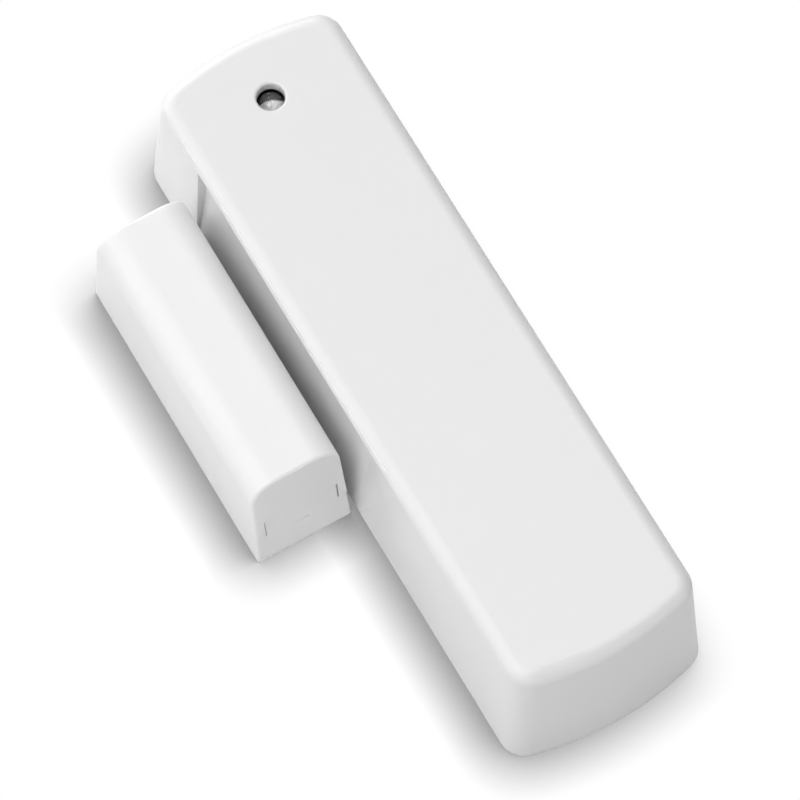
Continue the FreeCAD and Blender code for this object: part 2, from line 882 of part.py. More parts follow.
def make_led_leads():
    """Two square legs from the lens's flange down through the board."""
    legs = []
    tail = size("lead_tail")
    half_leg = size("light_leg_width") / 2
    for number, side in enumerate((-1, 1), start=1):
        leg = doc.addObject("Part::Box", f"led_leg_{number}")
        bind(leg, "Length", size("light_leg_width"))
        bind(leg, "Width", size("light_leg_width"))
        bind(leg, "Height", light_bottom - board_bottom + tail)
        move(
            leg, side * size("light_leg_pitch") / 2 - half_leg, light_place - half_leg,
            board_bottom - tail,
        )
        legs.append(leg)
    return gather("led_leads", legs)


def make_reed_capsule():
    """A sealed glass tube: thin wall, thick ends drawn down on to the leads."""
    body = new_body("reed_capsule")
    outer = size("reed_glass_diameter") / 2
    bore = size("reed_glass_bore") / 2
    lead = size("reed_lead_diameter") / 2
    half = size("reed_glass_length") / 2
    sketch = new_sketch(body, "XZ_Plane")
    shoulder = size("reed_shoulder")
    draw_outline(sketch, [
        (lead, -half), (outer * 0.7, -half), (outer, shoulder - half), (outer, half - shoulder),
        (outer * 0.7, half), (lead, half), (lead, reed_neck + shoulder), (bore, reed_neck),
        (bore, -reed_neck), (lead, -reed_neck - shoulder),
    ])
    spin(body, "Revolution", sketch)
    lying = FreeCAD.Rotation(FreeCAD.Vector(1, 0, 0), 90)
    move(body, size("reed_shift"), size("reed_place"), reed_height(), lying)
    return body


def reed_height():
    return board_bottom - size("reed_glass_diameter") / 2 - size("reed_drop")


def make_reed_blade(name, side):
    """One lead: a flat blade inside the glass, then round wire that bends up into the board."""
    body = new_body(name)
    radius = size("reed_lead_diameter") / 2
    root_place = reed_neck - size("reed_blade_root")
    leg_place = size("reed_glass_length") / 2 + size("reed_lead_reach")
    bend = size("reed_lead_bend")
    leg_top = board_top - reed_height() + size("lead_tail")
    path = new_sketch(body, "YZ_Plane")
    centre = FreeCAD.Vector((leg_place - bend).value, bend.value, 0)
    circle = Part.Circle(centre, FreeCAD.Vector(0, 0, 1), bend.value)
    start = FreeCAD.Vector(root_place.value, 0, 0)
    end = FreeCAD.Vector(leg_place.value, leg_top.value, 0)
    path.addGeometry(Part.LineSegment(start, centre - FreeCAD.Vector(0, bend.value, 0)))
    path.addGeometry(Part.ArcOfCircle(circle, -math.pi / 2, 0))
    path.addGeometry(Part.LineSegment(centre + FreeCAD.Vector(bend.value, 0, 0), end))
    path.addConstraint(Sketcher.Constraint("Coincident", 0, 2, 1, 1))
    path.addConstraint(Sketcher.Constraint("Coincident", 1, 2, 2, 1))
    place_point(path, 0, 1, root_place, 0)
    place_point(path, 0, 2, leg_place - bend, 0)
    place_point(path, 2, 1, leg_place, bend)
    place_point(path, 2, 2, leg_place, leg_top)
    constrain(path, "Radius", (1,), bend)
    ring = new_sketch(body, "XZ_Plane", -root_place)
    draw_circle(ring, 0, 0, radius)
    pipe = body.newObject("PartDesign::AdditivePipe", f"{name}_pipe")
    pipe.Profile = ring
    pipe.Spine = (path, [])
    half_blade = size("reed_blade_width") / 2
    thickness = size("reed_blade_thickness")
    gap = size("reed_blade_gap") / 2
    levels = (gap, gap + thickness) if side > 0 else (-gap - thickness, -gap)
    tip = -size("reed_blade_overlap") / 2
    box_feature(body, "Pad", -half_blade, half_blade, tip, reed_neck - size("reed_blade_root") / 4, *levels)
    turn = FreeCAD.Rotation(FreeCAD.Vector(0, 0, 1), 0 if side > 0 else 180)
    move(body, size("reed_shift"), size("reed_place"), reed_height(), turn)
    return body


def make_tamper_contact():
    """A bent leaf under the board, pressed by the base's post while the cover is on."""
    body = new_body("tamper_contact")
    thickness = size("tamper_thickness")
    foot = tamper_foot_start
    bend = foot + size("tamper_foot_length")
    half = size("tamper_width") / 2
    flat = size("tamper_flat")
    curl = size("tamper_curl")
    sketch = new_sketch(body, "YZ_Plane", size("tamper_shift") - half)
    draw_outline(sketch, [
        (foot, board_bottom - thickness),
        (bend, board_bottom - thickness),
        (tamper_tip_place - flat, tamper_tip_height),
        (tamper_tip_place + flat, tamper_tip_height),
        (tamper_tip_place + curl, tamper_tip_height + curl * 0.6),
        (tamper_tip_place + curl - thickness * 0.6, tamper_tip_height + curl * 0.6 + thickness),
        (tamper_tip_place + flat - thickness * 0.6, tamper_tip_height + thickness),
        (tamper_tip_place - flat + thickness * 0.6, tamper_tip_height + thickness),
        (bend + thickness * 0.6, board_bottom),
        (foot, board_bottom),
    ])
    extrude(body, "Pad", sketch, size("tamper_width"))
    return body


def make_radio_module():
    body = new_body("radio_module")
    half = size("radio_width") / 2
    box_feature(
        body, "Pad", size("radio_shift") - half, size("radio_shift") + half, size("radio_near_edge"),
        size("radio_near_edge") + size("radio_length"), board_bottom - size("radio_thickness"), board_bottom,
    )
    return body


def make_shield_can():
    body = new_body("shield_can")
    half = size("can_width") / 2
    wall = size("can_wall")
    near = size("radio_near_edge") + (size("radio_length") - size("can_length")) / 2
    far = near + size("can_length")
    top = board_bottom - size("radio_thickness")
    foot = top - size("can_height")
    middle = size("radio_shift")
    block = box_feature(body, "Pad", middle - half, middle + half, near, far, foot, top)
    round_edges(body, block, lambda e: at_height(e, foot.value), wall * 1.6)
    box_feature(
        body, "Pocket", middle - half + wall, middle + half - wall, near + wall, far - wall, foot + wall, top,
    )
    vent = size("can_vent_diameter") / 2
    for x in (middle - half * 0.5, middle + half * 0.5):
        round_feature(body, "Pocket", x, near + size("can_length") / 2, vent, foot, foot + wall)
    return body


def make_microcontroller():
    body = new_body("microcontroller")
    half = size("chip_width") / 2
    top = board_bottom - size("chip_lift")
    foot = top - size("chip_height")
    far = size("chip_near_edge") + size("chip_length")
    left = size("chip_shift") - half
    block = box_feature(body, "Pad", left, left + size("chip_width"), size("chip_near_edge"), far, foot, top)
    bevel_edges(body, block, lambda e: at_height(e, foot.value), size("chip_bevel"))
    inset = size("chip_mark_inset")
    round_feature(
        body, "Pocket", left + inset, size("chip_near_edge") + inset, size("chip_mark_diameter") / 2,
        foot, foot + size("chip_mark_depth"),
    )
    return body


def make_chip_legs():
    """Gull-wing legs, a row on each long side of the chip."""
    legs = []
    count = round(DRIVING_SIZES["chip_leg_count"])
    reach = size("chip_leg_reach")
    thickness = size("chip_leg_thickness")
    first = size("chip_near_edge") + (size("chip_length") - (count - 1) * size("chip_leg_pitch")) / 2
    for side in (-1, 1):
        wall = size("chip_shift") + side * size("chip_width") / 2
        for k in range(count):
            body = new_body(f"chip_leg_{len(legs) + 1}")
            middle = first + k * size("chip_leg_pitch")
            sketch = new_sketch(body, "XZ_Plane", -(middle + size("chip_leg_width") / 2))
            level = board_bottom - size("chip_lift") - size("chip_height") * 0.5
            profile = [
                (0.0, level), (0.35, level), (0.55, board_bottom - thickness),
                (1.0, board_bottom - thickness), (1.0, board_bottom),
                (0.4, board_bottom), (0.2, level + thickness), (0.0, level + thickness),
            ]
            corners = [(wall + side * share * reach, z) for share, z in profile]
            draw_outline(sketch, corners if side > 0 else corners[::-1])
            extrude(body, "Pad", sketch, size("chip_leg_width"))
            legs.append(body)
    return gather("microcontroller_legs", legs)


def make_crystal():
    body = new_body("crystal")
    radius = size("crystal_width") / 2
    straight = (size("crystal_length") - size("crystal_width")) / 2
    middle = size("crystal_place")
    x = size("crystal_shift")
    sketch = new_sketch(body, "XY_Plane", board_top)
    draw_outline(sketch, [
        (x + radius * 0.999, middle - straight), (x + radius * 0.999, middle + straight),
        (x - radius * 0.999, middle + straight), (x - radius * 0.999, middle - straight),
    ], {1: radius, 3: radius})
    can = extrude(body, "Pad", sketch, size("crystal_height"))
    top = (board_top + size("crystal_height")).value
    round_edges(body, can, lambda e: at_height(e, top), size("crystal_edge"))
    return body


def capacitor_places():
    """A column of three past the reed switch with one beside it, and a pair beside the chip."""
    pitch = size("capacitor_pitch")
    first = reed_lead_places()[1] + size("capacitor_row_room")
    column = board_left + size("capacitor_inset")
    beside_chip = size("chip_shift") + size("chip_capacitor_room")
    chip_start = size("chip_near_edge") + size("chip_mark_inset")
    places = [(column, first + k * pitch) for k in range(3)]
    places.append((column + size("capacitor_column_pitch"), first + pitch))
    return places + [(beside_chip, chip_start + k * pitch) for k in range(2)]


def resistor_places():
    """A row of three at the near end, and a row of three past the reed switch."""
    near = size("board_near_edge") + size("resistor_near_room")
    middle = size("board_shift") - size("resistor_near_shift")
    far = reed_lead_places()[1] + size("resistor_row_room")
    column = board_left + size("resistor_inset")
    pitch = size("resistor_pitch")
    return [(middle + k * pitch, near) for k in (-1, 0, 1)] + [(column + k * pitch, far) for k in range(3)]


def make_chips(name, kind, places, underside):
    """Small block parts in one node, each soldered flat to the board."""
    chips = []
    half_width_chip = size(f"{kind}_width") / 2
    half_length_chip = size(f"{kind}_length") / 2
    level = board_bottom - size(f"{kind}_height") if underside else board_top
    for number, (x, y) in enumerate(places, start=1):
        chip = doc.addObject("Part::Box", f"{kind}_{number}")
        bind(chip, "Length", size(f"{kind}_width"))
        bind(chip, "Width", size(f"{kind}_length"))
        bind(chip, "Height", size(f"{kind}_height"))
        move(chip, as_size(x) - half_width_chip, as_size(y) - half_length_chip, level)
        chips.append(chip)
    return gather(name, chips)


def coil_body(name, wire, radius, pitch, turns):
    """A wire wound about the body's own Z axis, from height 0."""
    body = new_body(name)
    sketch = new_sketch(body, "XZ_Plane")
    draw_circle(sketch, radius, as_size(0), wire / 2)
    doc.recompute()
    helix = body.newObject("PartDesign::AdditiveHelix", f"{name}_helix")
    helix.Profile = sketch
    helix.ReferenceAxis = (origin_feature(body, "Z_Axis"), [""])
    helix.Mode = 0
    bind(helix, "Pitch", pitch)
    bind(helix, "Height", pitch * turns)
    helix.Angle = 0
    helix.HasBeenEdited = True
    return body


def make_antenna():
    """A wound wire that lies on the board beside its right edge."""
    room = far_screw_place - size("antenna_screw_room") - size("antenna_start")
    body = coil_body(
        "antenna", size("antenna_wire"), size("antenna_radius"), room / size("antenna_turns"),
        size("antenna_turns"),
    )
    height = board_top + size("antenna_radius") + size("antenna_wire") / 2 + size("antenna_clearance")
    move(
        body, size("antenna_shift"), size("antenna_start"), height,
        FreeCAD.Rotation(FreeCAD.Vector(1, 0, 0), -90),
    )
    return body


# Battery and its contacts

def make_battery():
    body = new_body("battery")
    radius = cell_radius - size("cell_wrap")
    shoulder = cell_front - size("cell_nub_height")
    x = size("cell_shift")
    block = lying_feature(body, "Pad", x, cell_centre_height, radius, cell_near_end, shoulder)
    round_edges(body, block, lambda e: e.Length > radius.value * 6, size("cell_edge_radius"))
    lying_feature(
        body, "Pad", x, cell_centre_height, size("cell_nub_diameter") / 2, shoulder - size("root_sink"),
        cell_front,
    )
    return body


def make_battery_wrap():
    body = new_body("battery_wrap")
    outer = cell_radius
    margin = size("cell_edge_radius") + size("cell_wrap")
    near = cell_near_end + margin
    far = cell_front - size("cell_nub_height") - margin
    x = size("cell_shift")
    lying_feature(body, "Pad", x, cell_centre_height, outer, near, far)
    lying_feature(body, "Pocket", x, cell_centre_height, outer - size("cell_wrap"), near, far)
    return body


def make_battery_contact():
    """The positive plate, with a tab bent over on to the board."""
    body = new_body("battery_contact")
    thickness = size("contact_thickness")
    box_feature(
        body, "Pad", contact_left, contact_right, front_contact_place, front_contact_place + thickness,
        contact_foot, contact_top,
    )
    half_tab = size("contact_tab_width") / 2
    box_feature(
        body, "Pad", size("cell_shift") - half_tab, size("cell_shift") + half_tab, front_contact_place,
        contact_tab_end, board_top, board_top + thickness,
    )
    return body


def make_battery_spring_plate():
    """The negative plate, drawn out into a strap that runs along the cell to the board."""
    body = new_body("battery_spring_plate")
    thickness = size("contact_thickness")
    strap_right = strap_left + size("strap_thickness")
    root_depth = size("strap_root")
    box_feature(
        body, "Pad", contact_left, contact_right, rear_contact_place, rear_contact_place + thickness,
        contact_foot, contact_top,
    )
    box_feature(
        body, "Pad", contact_right - root_depth, strap_right, rear_contact_place,
        rear_contact_place + thickness, strap_foot, contact_top,
    )
    box_feature(
        body, "Pad", strap_left, strap_right, rear_contact_place, contact_tab_end, strap_foot, contact_top,
    )
    box_feature(
        body, "Pad", strap_left, strap_right, contact_tab_end - size("strap_tab_length"), contact_tab_end,
        board_top, strap_foot + root_depth / 2,
    )
    return body


def make_battery_spring():
    """The negative contact: a short coil between its plate and the cell."""
    wire = size("spring_wire")
    travel = size("spring_length") - wire
    body = coil_body(
        "battery_spring", wire, size("spring_radius"), travel / size("spring_turns"), size("spring_turns"),
    )
    move(
        body, size("cell_shift"), rear_contact_place + size("contact_thickness") + wire / 2,
        cell_centre_height, FreeCAD.Rotation(FreeCAD.Vector(1, 0, 0), -90),
    )
    return body


# Magnet block

block_half_width = size("block_width") / 2
block_half_length = size("block_length") / 2
block_side_lean = tan(size("block_side_draft"))
block_end_lean = tan(size("block_end_draft"))
seam = size("block_seam_height")
latch_top = seam + size("latch_height")
latch_left = size("latch_shift") - size("latch_half_width")
latch_right = size("latch_shift") + size("latch_half_width")
block_shift = -(half_width + size("pair_gap") + block_half_width)
magnet_top = size("magnet_level") + size("magnet_height")
saddle_top = size("magnet_level") + size("saddle_grip")


def tapered_block(body, inset, bottom, top):
    """The magnet block's tapered form between two heights, inset from its outer faces."""
    x = block_half_width - inset
    y = block_half_length - inset
    block = box_feature(body, "Pad", -x, x, -y, y, bottom, top)
    block = lean(body, block, faces_sideways, size("block_side_draft"))
    return lean(body, block, faces_endways, size("block_end_draft"))


def tapered_cavity(body, bottom, top):
    """The room inside the magnet block, one wall in from its outer faces."""
    sections = []
    for level in (bottom, top):
        section = new_sketch(body, "XY_Plane", level)
        x = block_half_width - size("block_wall") - level * block_side_lean
        y = block_half_length - size("block_wall") - level * block_end_lean
        draw_rectangle(section, -x, x, -y, y)
        sections.append(section)
    return loft(body, "Subtractive", *sections)


def long_top_edge(height):
    """A test for the two long edges at a height."""
    return lambda e: at_height(e, height) and e.BoundBox.YLength > 10 * max(e.BoundBox.XLength, 0.1)


def make_magnet_cover():
    body = new_body("magnet_cover")
    height = size("block_height")
    shell = tapered_block(body, as_size(0), seam, height)
    shell = round_edges(body, shell, long_top_edge(height.value), size("block_shoulder"))
    ends = (block_half_length - height * block_end_lean).value - 0.5
    round_edges(
        body, shell,
        lambda e: abs(e.CenterOfMass.y) > ends and not at_height(e, seam.value),
        size("block_edge_rounding"),
    )
    inner_top = height - size("block_wall")
    cavity = tapered_cavity(body, seam, inner_top)
    round_edges(
        body, cavity, long_top_edge(inner_top.value), size("block_shoulder") - size("block_wall"),
    )
    add_latch_windows(body)
    half_rib = size("saddle_thickness") / 2
    for place in (-size("saddle_spacing") / 2, size("saddle_spacing") / 2):
        box_feature(
            body, "Pad", -half_rib, half_rib, place - half_rib * 3, place + half_rib * 3,
            magnet_top + size("magnet_fit"), inner_top + size("root_sink"),
        )
    move(body, block_shift, size("magnet_place"), 0)
    return body


def add_latch_windows(body):
    inner = block_half_length - 1.5 * size("block_wall") - latch_top * block_end_lean
    outer = block_half_length + size("cut_margin")
    for y0, y1 in ((-outer, -inner), (inner, outer)):
        box_feature(body, "Pocket", latch_left, latch_right, y0, y1, seam, latch_top)


def make_magnet_base():
    body = new_body("magnet_base")
    block = tapered_block(body, size("block_base_inset"), as_size(0), latch_top - size("latch_gap"))
    round_edges(body, block, upright, size("block_edge_rounding"))
    tapered_cavity(body, size("block_floor"), latch_top)
    trim_above_seam(body)
    box_feature(
        body, "Pocket", -size("block_tape_width") / 2, size("block_tape_width") / 2,
        -size("block_tape_length") / 2, size("block_tape_length") / 2, as_size(0), size("tape_thickness"),
    )
    add_screw_holes(
        body, size("block_screw_diameter") / 2, size("block_screw_spacing") / 2, size("block_floor"),
        size("block_floor") - size("tape_thickness") - size("block_sink_land"),
    )
    add_magnet_saddles(body)
    add_latch_notches(body)
    move(body, block_shift, size("magnet_place"), 0)
    return body


def trim_above_seam(body):
    """Leaves only the two latch tabs standing above the seam."""
    left = latch_left + size("latch_gap")
    right = latch_right - size("latch_slit")
    outside = block_half_width + size("cut_margin")
    length = block_half_length + size("cut_margin")
    seat = seam - size("latch_gap") * 0.5
    for x0, x1 in ((-outside, left), (right, outside)):
        box_feature(body, "Pocket", x0, x1, -length, length, seat, latch_top + size("cut_margin"))


def add_magnet_saddles(body):
    """Four cross ribs: two notched ones carry the magnet, two outer ones stop its ends."""
    half_rib = size("saddle_thickness") / 2
    wall = size("block_wall") + size("block_floor") * block_side_lean
    reach = block_half_width - wall - size("saddle_side_clearance")
    low = size("block_floor") - size("root_sink")
    for place in (-size("saddle_spacing") / 2, size("saddle_spacing") / 2):
        box_feature(body, "Pad", -reach, reach, place - half_rib, place + half_rib, low, saddle_top)
    half_magnet = size("magnet_width") / 2 + size("magnet_fit")
    span = size("saddle_spacing") / 2 + 2 * half_rib
    box_feature(body, "Pocket", -half_magnet, half_magnet, -span, span, size("magnet_level"), saddle_top)
    stop = size("magnet_length") / 2 + size("magnet_fit")
    for y0, y1 in ((-stop - 2 * half_rib, -stop), (stop, stop + 2 * half_rib)):
        box_feature(body, "Pad", -reach, reach, y0, y1, low, saddle_top)


def add_latch_notches(body):
    """A short shallow finger notch under each latch tab."""
    half = size("latch_notch_width") / 2
    height = seam - size("latch_notch_drop")
    depth = size("latch_notch_depth")
    face = block_half_length - size("block_base_inset") - height * block_end_lean
    outside = face + size("cut_margin")
    for y0, y1 in ((-outside, depth - face), (face - depth, outside)):
        box_feature(body, "Pocket", -half, half, y0, y1, height, height + size("latch_notch_height"))


def make_bar_magnet():
    body = new_body("bar_magnet")
    half = size("magnet_width") / 2
    block = box_feature(
        body, "Pad", -half, half, -size("magnet_length") / 2, size("magnet_length") / 2,
        size("magnet_level"), magnet_top,
    )
    bevel_edges(body, block, lambda e: e.BoundBox.YLength > 10, size("magnet_edge"))
    move(body, block_shift, size("magnet_place"), 0)
    return body


def make_nodes():
    """Every sub-part, in the order it would be put together."""
    sensor_tape = make_tape(
        "sensor_adhesive", size("tape_width"), tape_length, size("tape_thickness"),
        size("tape_hole_diameter") / 2, size("screw_spacing") / 2,
    )
    magnet_tape = make_tape(
        "magnet_adhesive", size("block_tape_width"), size("block_tape_length"), size("tape_thickness"),
        size("block_screw_diameter") / 2 + size("block_tape_hole_margin"), size("block_screw_spacing") / 2,
    )
    move(magnet_tape, block_shift, size("magnet_place"), 0)
    return [
        make_sensor_cover(),
        make_sensor_base(),
        sensor_tape,
        make_circuit_board(),
        make_board_screws(),
        make_led_lens(),
        make_led_leads(),
        make_reed_capsule(),
        make_reed_blade("reed_blade_near", -1),
        make_reed_blade("reed_blade_far", 1),
        make_tamper_contact(),
        make_radio_module(),
        make_shield_can(),
        make_microcontroller(),
        make_chip_legs(),
        make_crystal(),
        make_chips("capacitors", "capacitor", capacitor_places(), True),
        make_chips("resistors", "resistor", resistor_places(), False),
        make_antenna(),
        make_battery(),
        make_battery_wrap(),
        make_battery_contact(),
        make_battery_spring_plate(),
        make_battery_spring(),
        make_magnet_cover(),
        make_magnet_base(),
        make_bar_magnet(),
        magnet_tape,
    ]


def check_and_write(nodes):
    """Stops on any failed feature or broken solid, then writes one file for each node."""
    doc.recompute()
    for thing in doc.Objects:
        if "Invalid" in thing.State or "Error" in thing.State:
            raise RuntimeError(f"{thing.Label} failed: {thing.State}")
    for thing in doc.Objects:
        if thing.TypeId != "PartDesign::Pocket":
            continue
        if thing.Shape.Volume > thing.BaseFeature.Shape.Volume - 1e-4:
            raise RuntimeError(f"{thing.Label} cuts nothing")
    for node in nodes:
        if node.Shape.isNull() or not node.Shape.isValid():
            raise RuntimeError(f"{node.Label} has no sound shape")
    os.makedirs("parts", exist_ok=True)
    for node in nodes:
        node.Shape.exportStep(f"parts/{node.Label}.step")
        box = node.Shape.BoundBox
        print(
            f"{node.Label}: {len(node.Shape.Solids)} solid(s), volume {node.Shape.Volume:.2f},"
            f" x {box.XMin:.2f} to {box.XMax:.2f}, y {box.YMin:.2f} to {box.YMax:.2f},"
            f" z {box.ZMin:.2f} to {box.ZMax:.2f}"
        )


check_and_write(make_nodes())
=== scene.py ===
# %% [markdown]
# # A door and window contact, from its frame to a studio picture
# The real object is two pieces of satin white plastic: a long transmitter with bowed ends and a small
# status light, and a short magnet block that stands beside it. The solids come in as a fixed frame.
# This script gives every piece its finish, adds the small things that are seen rather than measured,
# and sets up the studio.

# %% Load the frame
import math
import bmesh
import bpy
from mathutils import Matrix, Vector


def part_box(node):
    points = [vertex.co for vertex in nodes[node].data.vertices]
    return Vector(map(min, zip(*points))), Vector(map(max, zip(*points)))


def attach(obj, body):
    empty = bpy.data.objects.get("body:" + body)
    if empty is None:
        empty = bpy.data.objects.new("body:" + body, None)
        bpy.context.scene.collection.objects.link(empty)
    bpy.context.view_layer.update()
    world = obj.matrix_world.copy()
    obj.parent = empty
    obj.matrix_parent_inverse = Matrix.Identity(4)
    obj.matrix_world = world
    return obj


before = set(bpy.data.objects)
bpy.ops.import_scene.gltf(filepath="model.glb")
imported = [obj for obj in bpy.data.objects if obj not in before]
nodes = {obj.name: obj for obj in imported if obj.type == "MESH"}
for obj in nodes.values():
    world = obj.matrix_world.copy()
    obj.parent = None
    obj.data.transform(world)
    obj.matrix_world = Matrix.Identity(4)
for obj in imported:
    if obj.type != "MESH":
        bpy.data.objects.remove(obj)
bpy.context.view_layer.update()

print("pieces in the frame:", len(nodes))

# %% [markdown]
# ## The camera
# The photograph was taken from far away and from above, so its lines hardly converge. The camera's
# angles, distance and lens were worked out from the outlines of both blocks. The origin of the frame
# is the centre of the transmitter's back, and the camera looks a little to one side of it.

# %% The camera
AZIMUTH = math.radians(30.14)
ELEVATION = math.radians(69.19)
DISTANCE = 0.50264
FOCAL_PIXELS = 4662.0
PICTURE_PIXELS = 800.0
SENSOR = 36.0
SHIFT_RIGHT = -0.002256
SHIFT_UP = 0.000461
NEAREST_SEEN = 0.01
FARTHEST_SEEN = 20.0

back = Vector((
    -math.sin(AZIMUTH) * math.cos(ELEVATION),
    -math.cos(AZIMUTH) * math.cos(ELEVATION),
    math.sin(ELEVATION),
))
right = Vector((math.cos(AZIMUTH), -math.sin(AZIMUTH), 0.0))
up = back.cross(right)

camera_data = bpy.data.cameras.new("photograph")
camera_data.sensor_width = SENSOR
camera_data.lens = FOCAL_PIXELS / PICTURE_PIXELS * SENSOR
camera_data.clip_start = NEAREST_SEEN
camera_data.clip_end = FARTHEST_SEEN
camera = bpy.data.objects.new("photograph", camera_data)
turn = Matrix((right, up, back)).transposed().to_4x4()
place = right * SHIFT_RIGHT + up * SHIFT_UP + back * DISTANCE
camera.matrix_world = Matrix.Translation(place) @ turn
bpy.context.scene.collection.objects.link(camera)
bpy.context.scene.camera = camera
print("lens in mm:", round(camera_data.lens, 1), "camera at", [round(v, 4) for v in place])

# %% [markdown]
# ## Small helpers for materials
# Every finish here is worked out by nodes, so nothing depends on a picture file. A helper that adds a
# node, sets its values and wires it keeps each material short enough to read.

# %% Helpers for materials
def new_material(name):
    """An empty node material with its output node."""
    material = bpy.data.materials.new(name)
    material.use_nodes = True
    material.node_tree.nodes.clear()
    output = material.node_tree.nodes.new("ShaderNodeOutputMaterial")
    output.location = (600, 0)
    return material, material.node_tree, output


def add(tree, kind, **values):
    """Adds a node. Values go to its properties, or to the input of that name with _ for spaces."""
    node = tree.nodes.new(kind)
    for key, value in values.items():
        if hasattr(node, key):
            setattr(node, key, value)
        else:
            node.inputs[key.replace("_", " ")].default_value = value
    return node


def wire(tree, source, target):
    tree.links.new(source, target)


def object_place(tree, scale=1.0):
    """Object coordinates, multiplied: with 1000 they are in millimetres."""
    coordinates = add(tree, "ShaderNodeTexCoord")
    mapping = add(tree, "ShaderNodeMapping")
    mapping.inputs["Scale"].default_value = (scale, scale, scale)
    wire(tree, coordinates.outputs["Object"], mapping.inputs["Vector"])
    return mapping.outputs["Vector"]


def principled(tree, output, **values):
    shader = add(tree, "ShaderNodeBsdfPrincipled")
    for key, value in values.items():
        shader.inputs[key.replace("_", " ")].default_value = value
    wire(tree, shader.outputs["BSDF"], output.inputs["Surface"])
    return shader


print("helpers ready")

# %% [markdown]
# ## Effects that several finishes share
# Two effects come back in many materials, so each is a node group with its own inputs.
# "Moulded skin" is the very fine spark-eroded grain that a steel mould leaves on plastic: a height for
# a bump, and slow drifts of tone and gloss. "Drawn metal" is streaks along one direction, as on strip,
# wire and deep-drawn cans.

# %% The moulded skin group
def make_group(name, inputs, outputs):
    group = bpy.data.node_groups.new(name, "ShaderNodeTree")
    for label, kind, value in inputs:
        socket = group.interface.new_socket(label, in_out="INPUT", socket_type=kind)
        socket.default_value = value
    for label, kind in outputs:
        group.interface.new_socket(label, in_out="OUTPUT", socket_type=kind)
    return group, group.nodes.new("NodeGroupInput"), group.nodes.new("NodeGroupOutput")


def math_node(tree, operation, first, second):
    node = add(tree, "ShaderNodeMath", operation=operation)
    for socket, value in zip(node.inputs, (first, second)):
        if isinstance(value, (int, float)):
            socket.default_value = value
        else:
            wire(tree, value, socket)
    return node.outputs[0]


skin_group, skin_in, skin_out = make_group(
    "Moulded skin",
    [("Place", "NodeSocketVector", (0, 0, 0)), ("Grain per mm", "NodeSocketFloat", 6.0),
     ("Tone drift", "NodeSocketFloat", 0.01), ("Gloss", "NodeSocketFloat", 0.4),
     ("Gloss drift", "NodeSocketFloat", 0.05), ("Colour", "NodeSocketColor", (0.8, 0.8, 0.8, 1))],
    [("Height", "NodeSocketFloat"), ("Roughness", "NodeSocketFloat"), ("Colour", "NodeSocketColor")],
)
CLOUDS_PER_MM = 0.11
grain = add(skin_group, "ShaderNodeTexNoise", noise_dimensions="3D", Detail=3.0, Roughness=0.6)
wire(skin_group, skin_in.outputs["Place"], grain.inputs["Vector"])
wire(skin_group, skin_in.outputs["Grain per mm"], grain.inputs["Scale"])
cloud = add(skin_group, "ShaderNodeTexNoise", noise_dimensions="3D", Scale=CLOUDS_PER_MM, Detail=2.0)
wire(skin_group, skin_in.outputs["Place"], cloud.inputs["Vector"])
centred = math_node(skin_group, "SUBTRACT", cloud.outputs["Fac"], 0.5)
tone = math_node(skin_group, "MULTIPLY", centred, skin_in.outputs["Tone drift"])
tone = math_node(skin_group, "ADD", tone, 1.0)
tinted = add(skin_group, "ShaderNodeVectorMath", operation="SCALE")
wire(skin_group, skin_in.outputs["Colour"], tinted.inputs[0])
wire(skin_group, tone, tinted.inputs["Scale"])
gloss = math_node(skin_group, "MULTIPLY", centred, skin_in.outputs["Gloss drift"])
gloss = math_node(skin_group, "ADD", gloss, skin_in.outputs["Gloss"])
wire(skin_group, grain.outputs["Fac"], skin_out.inputs["Height"])
wire(skin_group, gloss, skin_out.inputs["Roughness"])
wire(skin_group, tinted.outputs["Vector"], skin_out.inputs["Colour"])
print("group:", skin_group.name)

# %% The drawn metal group
metal_group, metal_in, metal_out = make_group(
    "Drawn metal",
    [("Place", "NodeSocketVector", (0, 0, 0)), ("Gloss", "NodeSocketFloat", 0.3),
     ("Gloss drift", "NodeSocketFloat", 0.2), ("Colour", "NodeSocketColor", (0.7, 0.7, 0.7, 1)),
     ("Tarnish", "NodeSocketColor", (0.5, 0.5, 0.5, 1)), ("Tarnish share", "NodeSocketFloat", 0.3)],
    [("Height", "NodeSocketFloat"), ("Roughness", "NodeSocketFloat"), ("Colour", "NodeSocketColor")],
)
STREAKS_PER_MM = (9.0, 0.5, 9.0)
STAINS_PER_MM = 0.5
stretch = add(metal_group, "ShaderNodeMapping")
stretch.inputs["Scale"].default_value = STREAKS_PER_MM
wire(metal_group, metal_in.outputs["Place"], stretch.inputs["Vector"])
streaks = add(metal_group, "ShaderNodeTexNoise", Scale=1.0, Detail=4.0, Roughness=0.7)
wire(metal_group, stretch.outputs["Vector"], streaks.inputs["Vector"])
stain = add(metal_group, "ShaderNodeTexNoise", Scale=STAINS_PER_MM, Detail=3.0)
wire(metal_group, metal_in.outputs["Place"], stain.inputs["Vector"])
share = math_node(metal_group, "MULTIPLY", stain.outputs["Fac"], metal_in.outputs["Tarnish share"])
blend = add(metal_group, "ShaderNodeMix", data_type="RGBA")
wire(metal_group, share, blend.inputs["Factor"])
wire(metal_group, metal_in.outputs["Colour"], blend.inputs["A"])
wire(metal_group, metal_in.outputs["Tarnish"], blend.inputs["B"])
rough = math_node(metal_group, "SUBTRACT", streaks.outputs["Fac"], 0.5)
rough = math_node(metal_group, "MULTIPLY", rough, metal_in.outputs["Gloss drift"])
rough = math_node(metal_group, "ADD", rough, metal_in.outputs["Gloss"])
wire(metal_group, streaks.outputs["Fac"], metal_out.inputs["Height"])
wire(metal_group, rough, metal_out.inputs["Roughness"])
wire(metal_group, blend.outputs["Result"], metal_out.inputs["Colour"])
print("group:", metal_group.name)

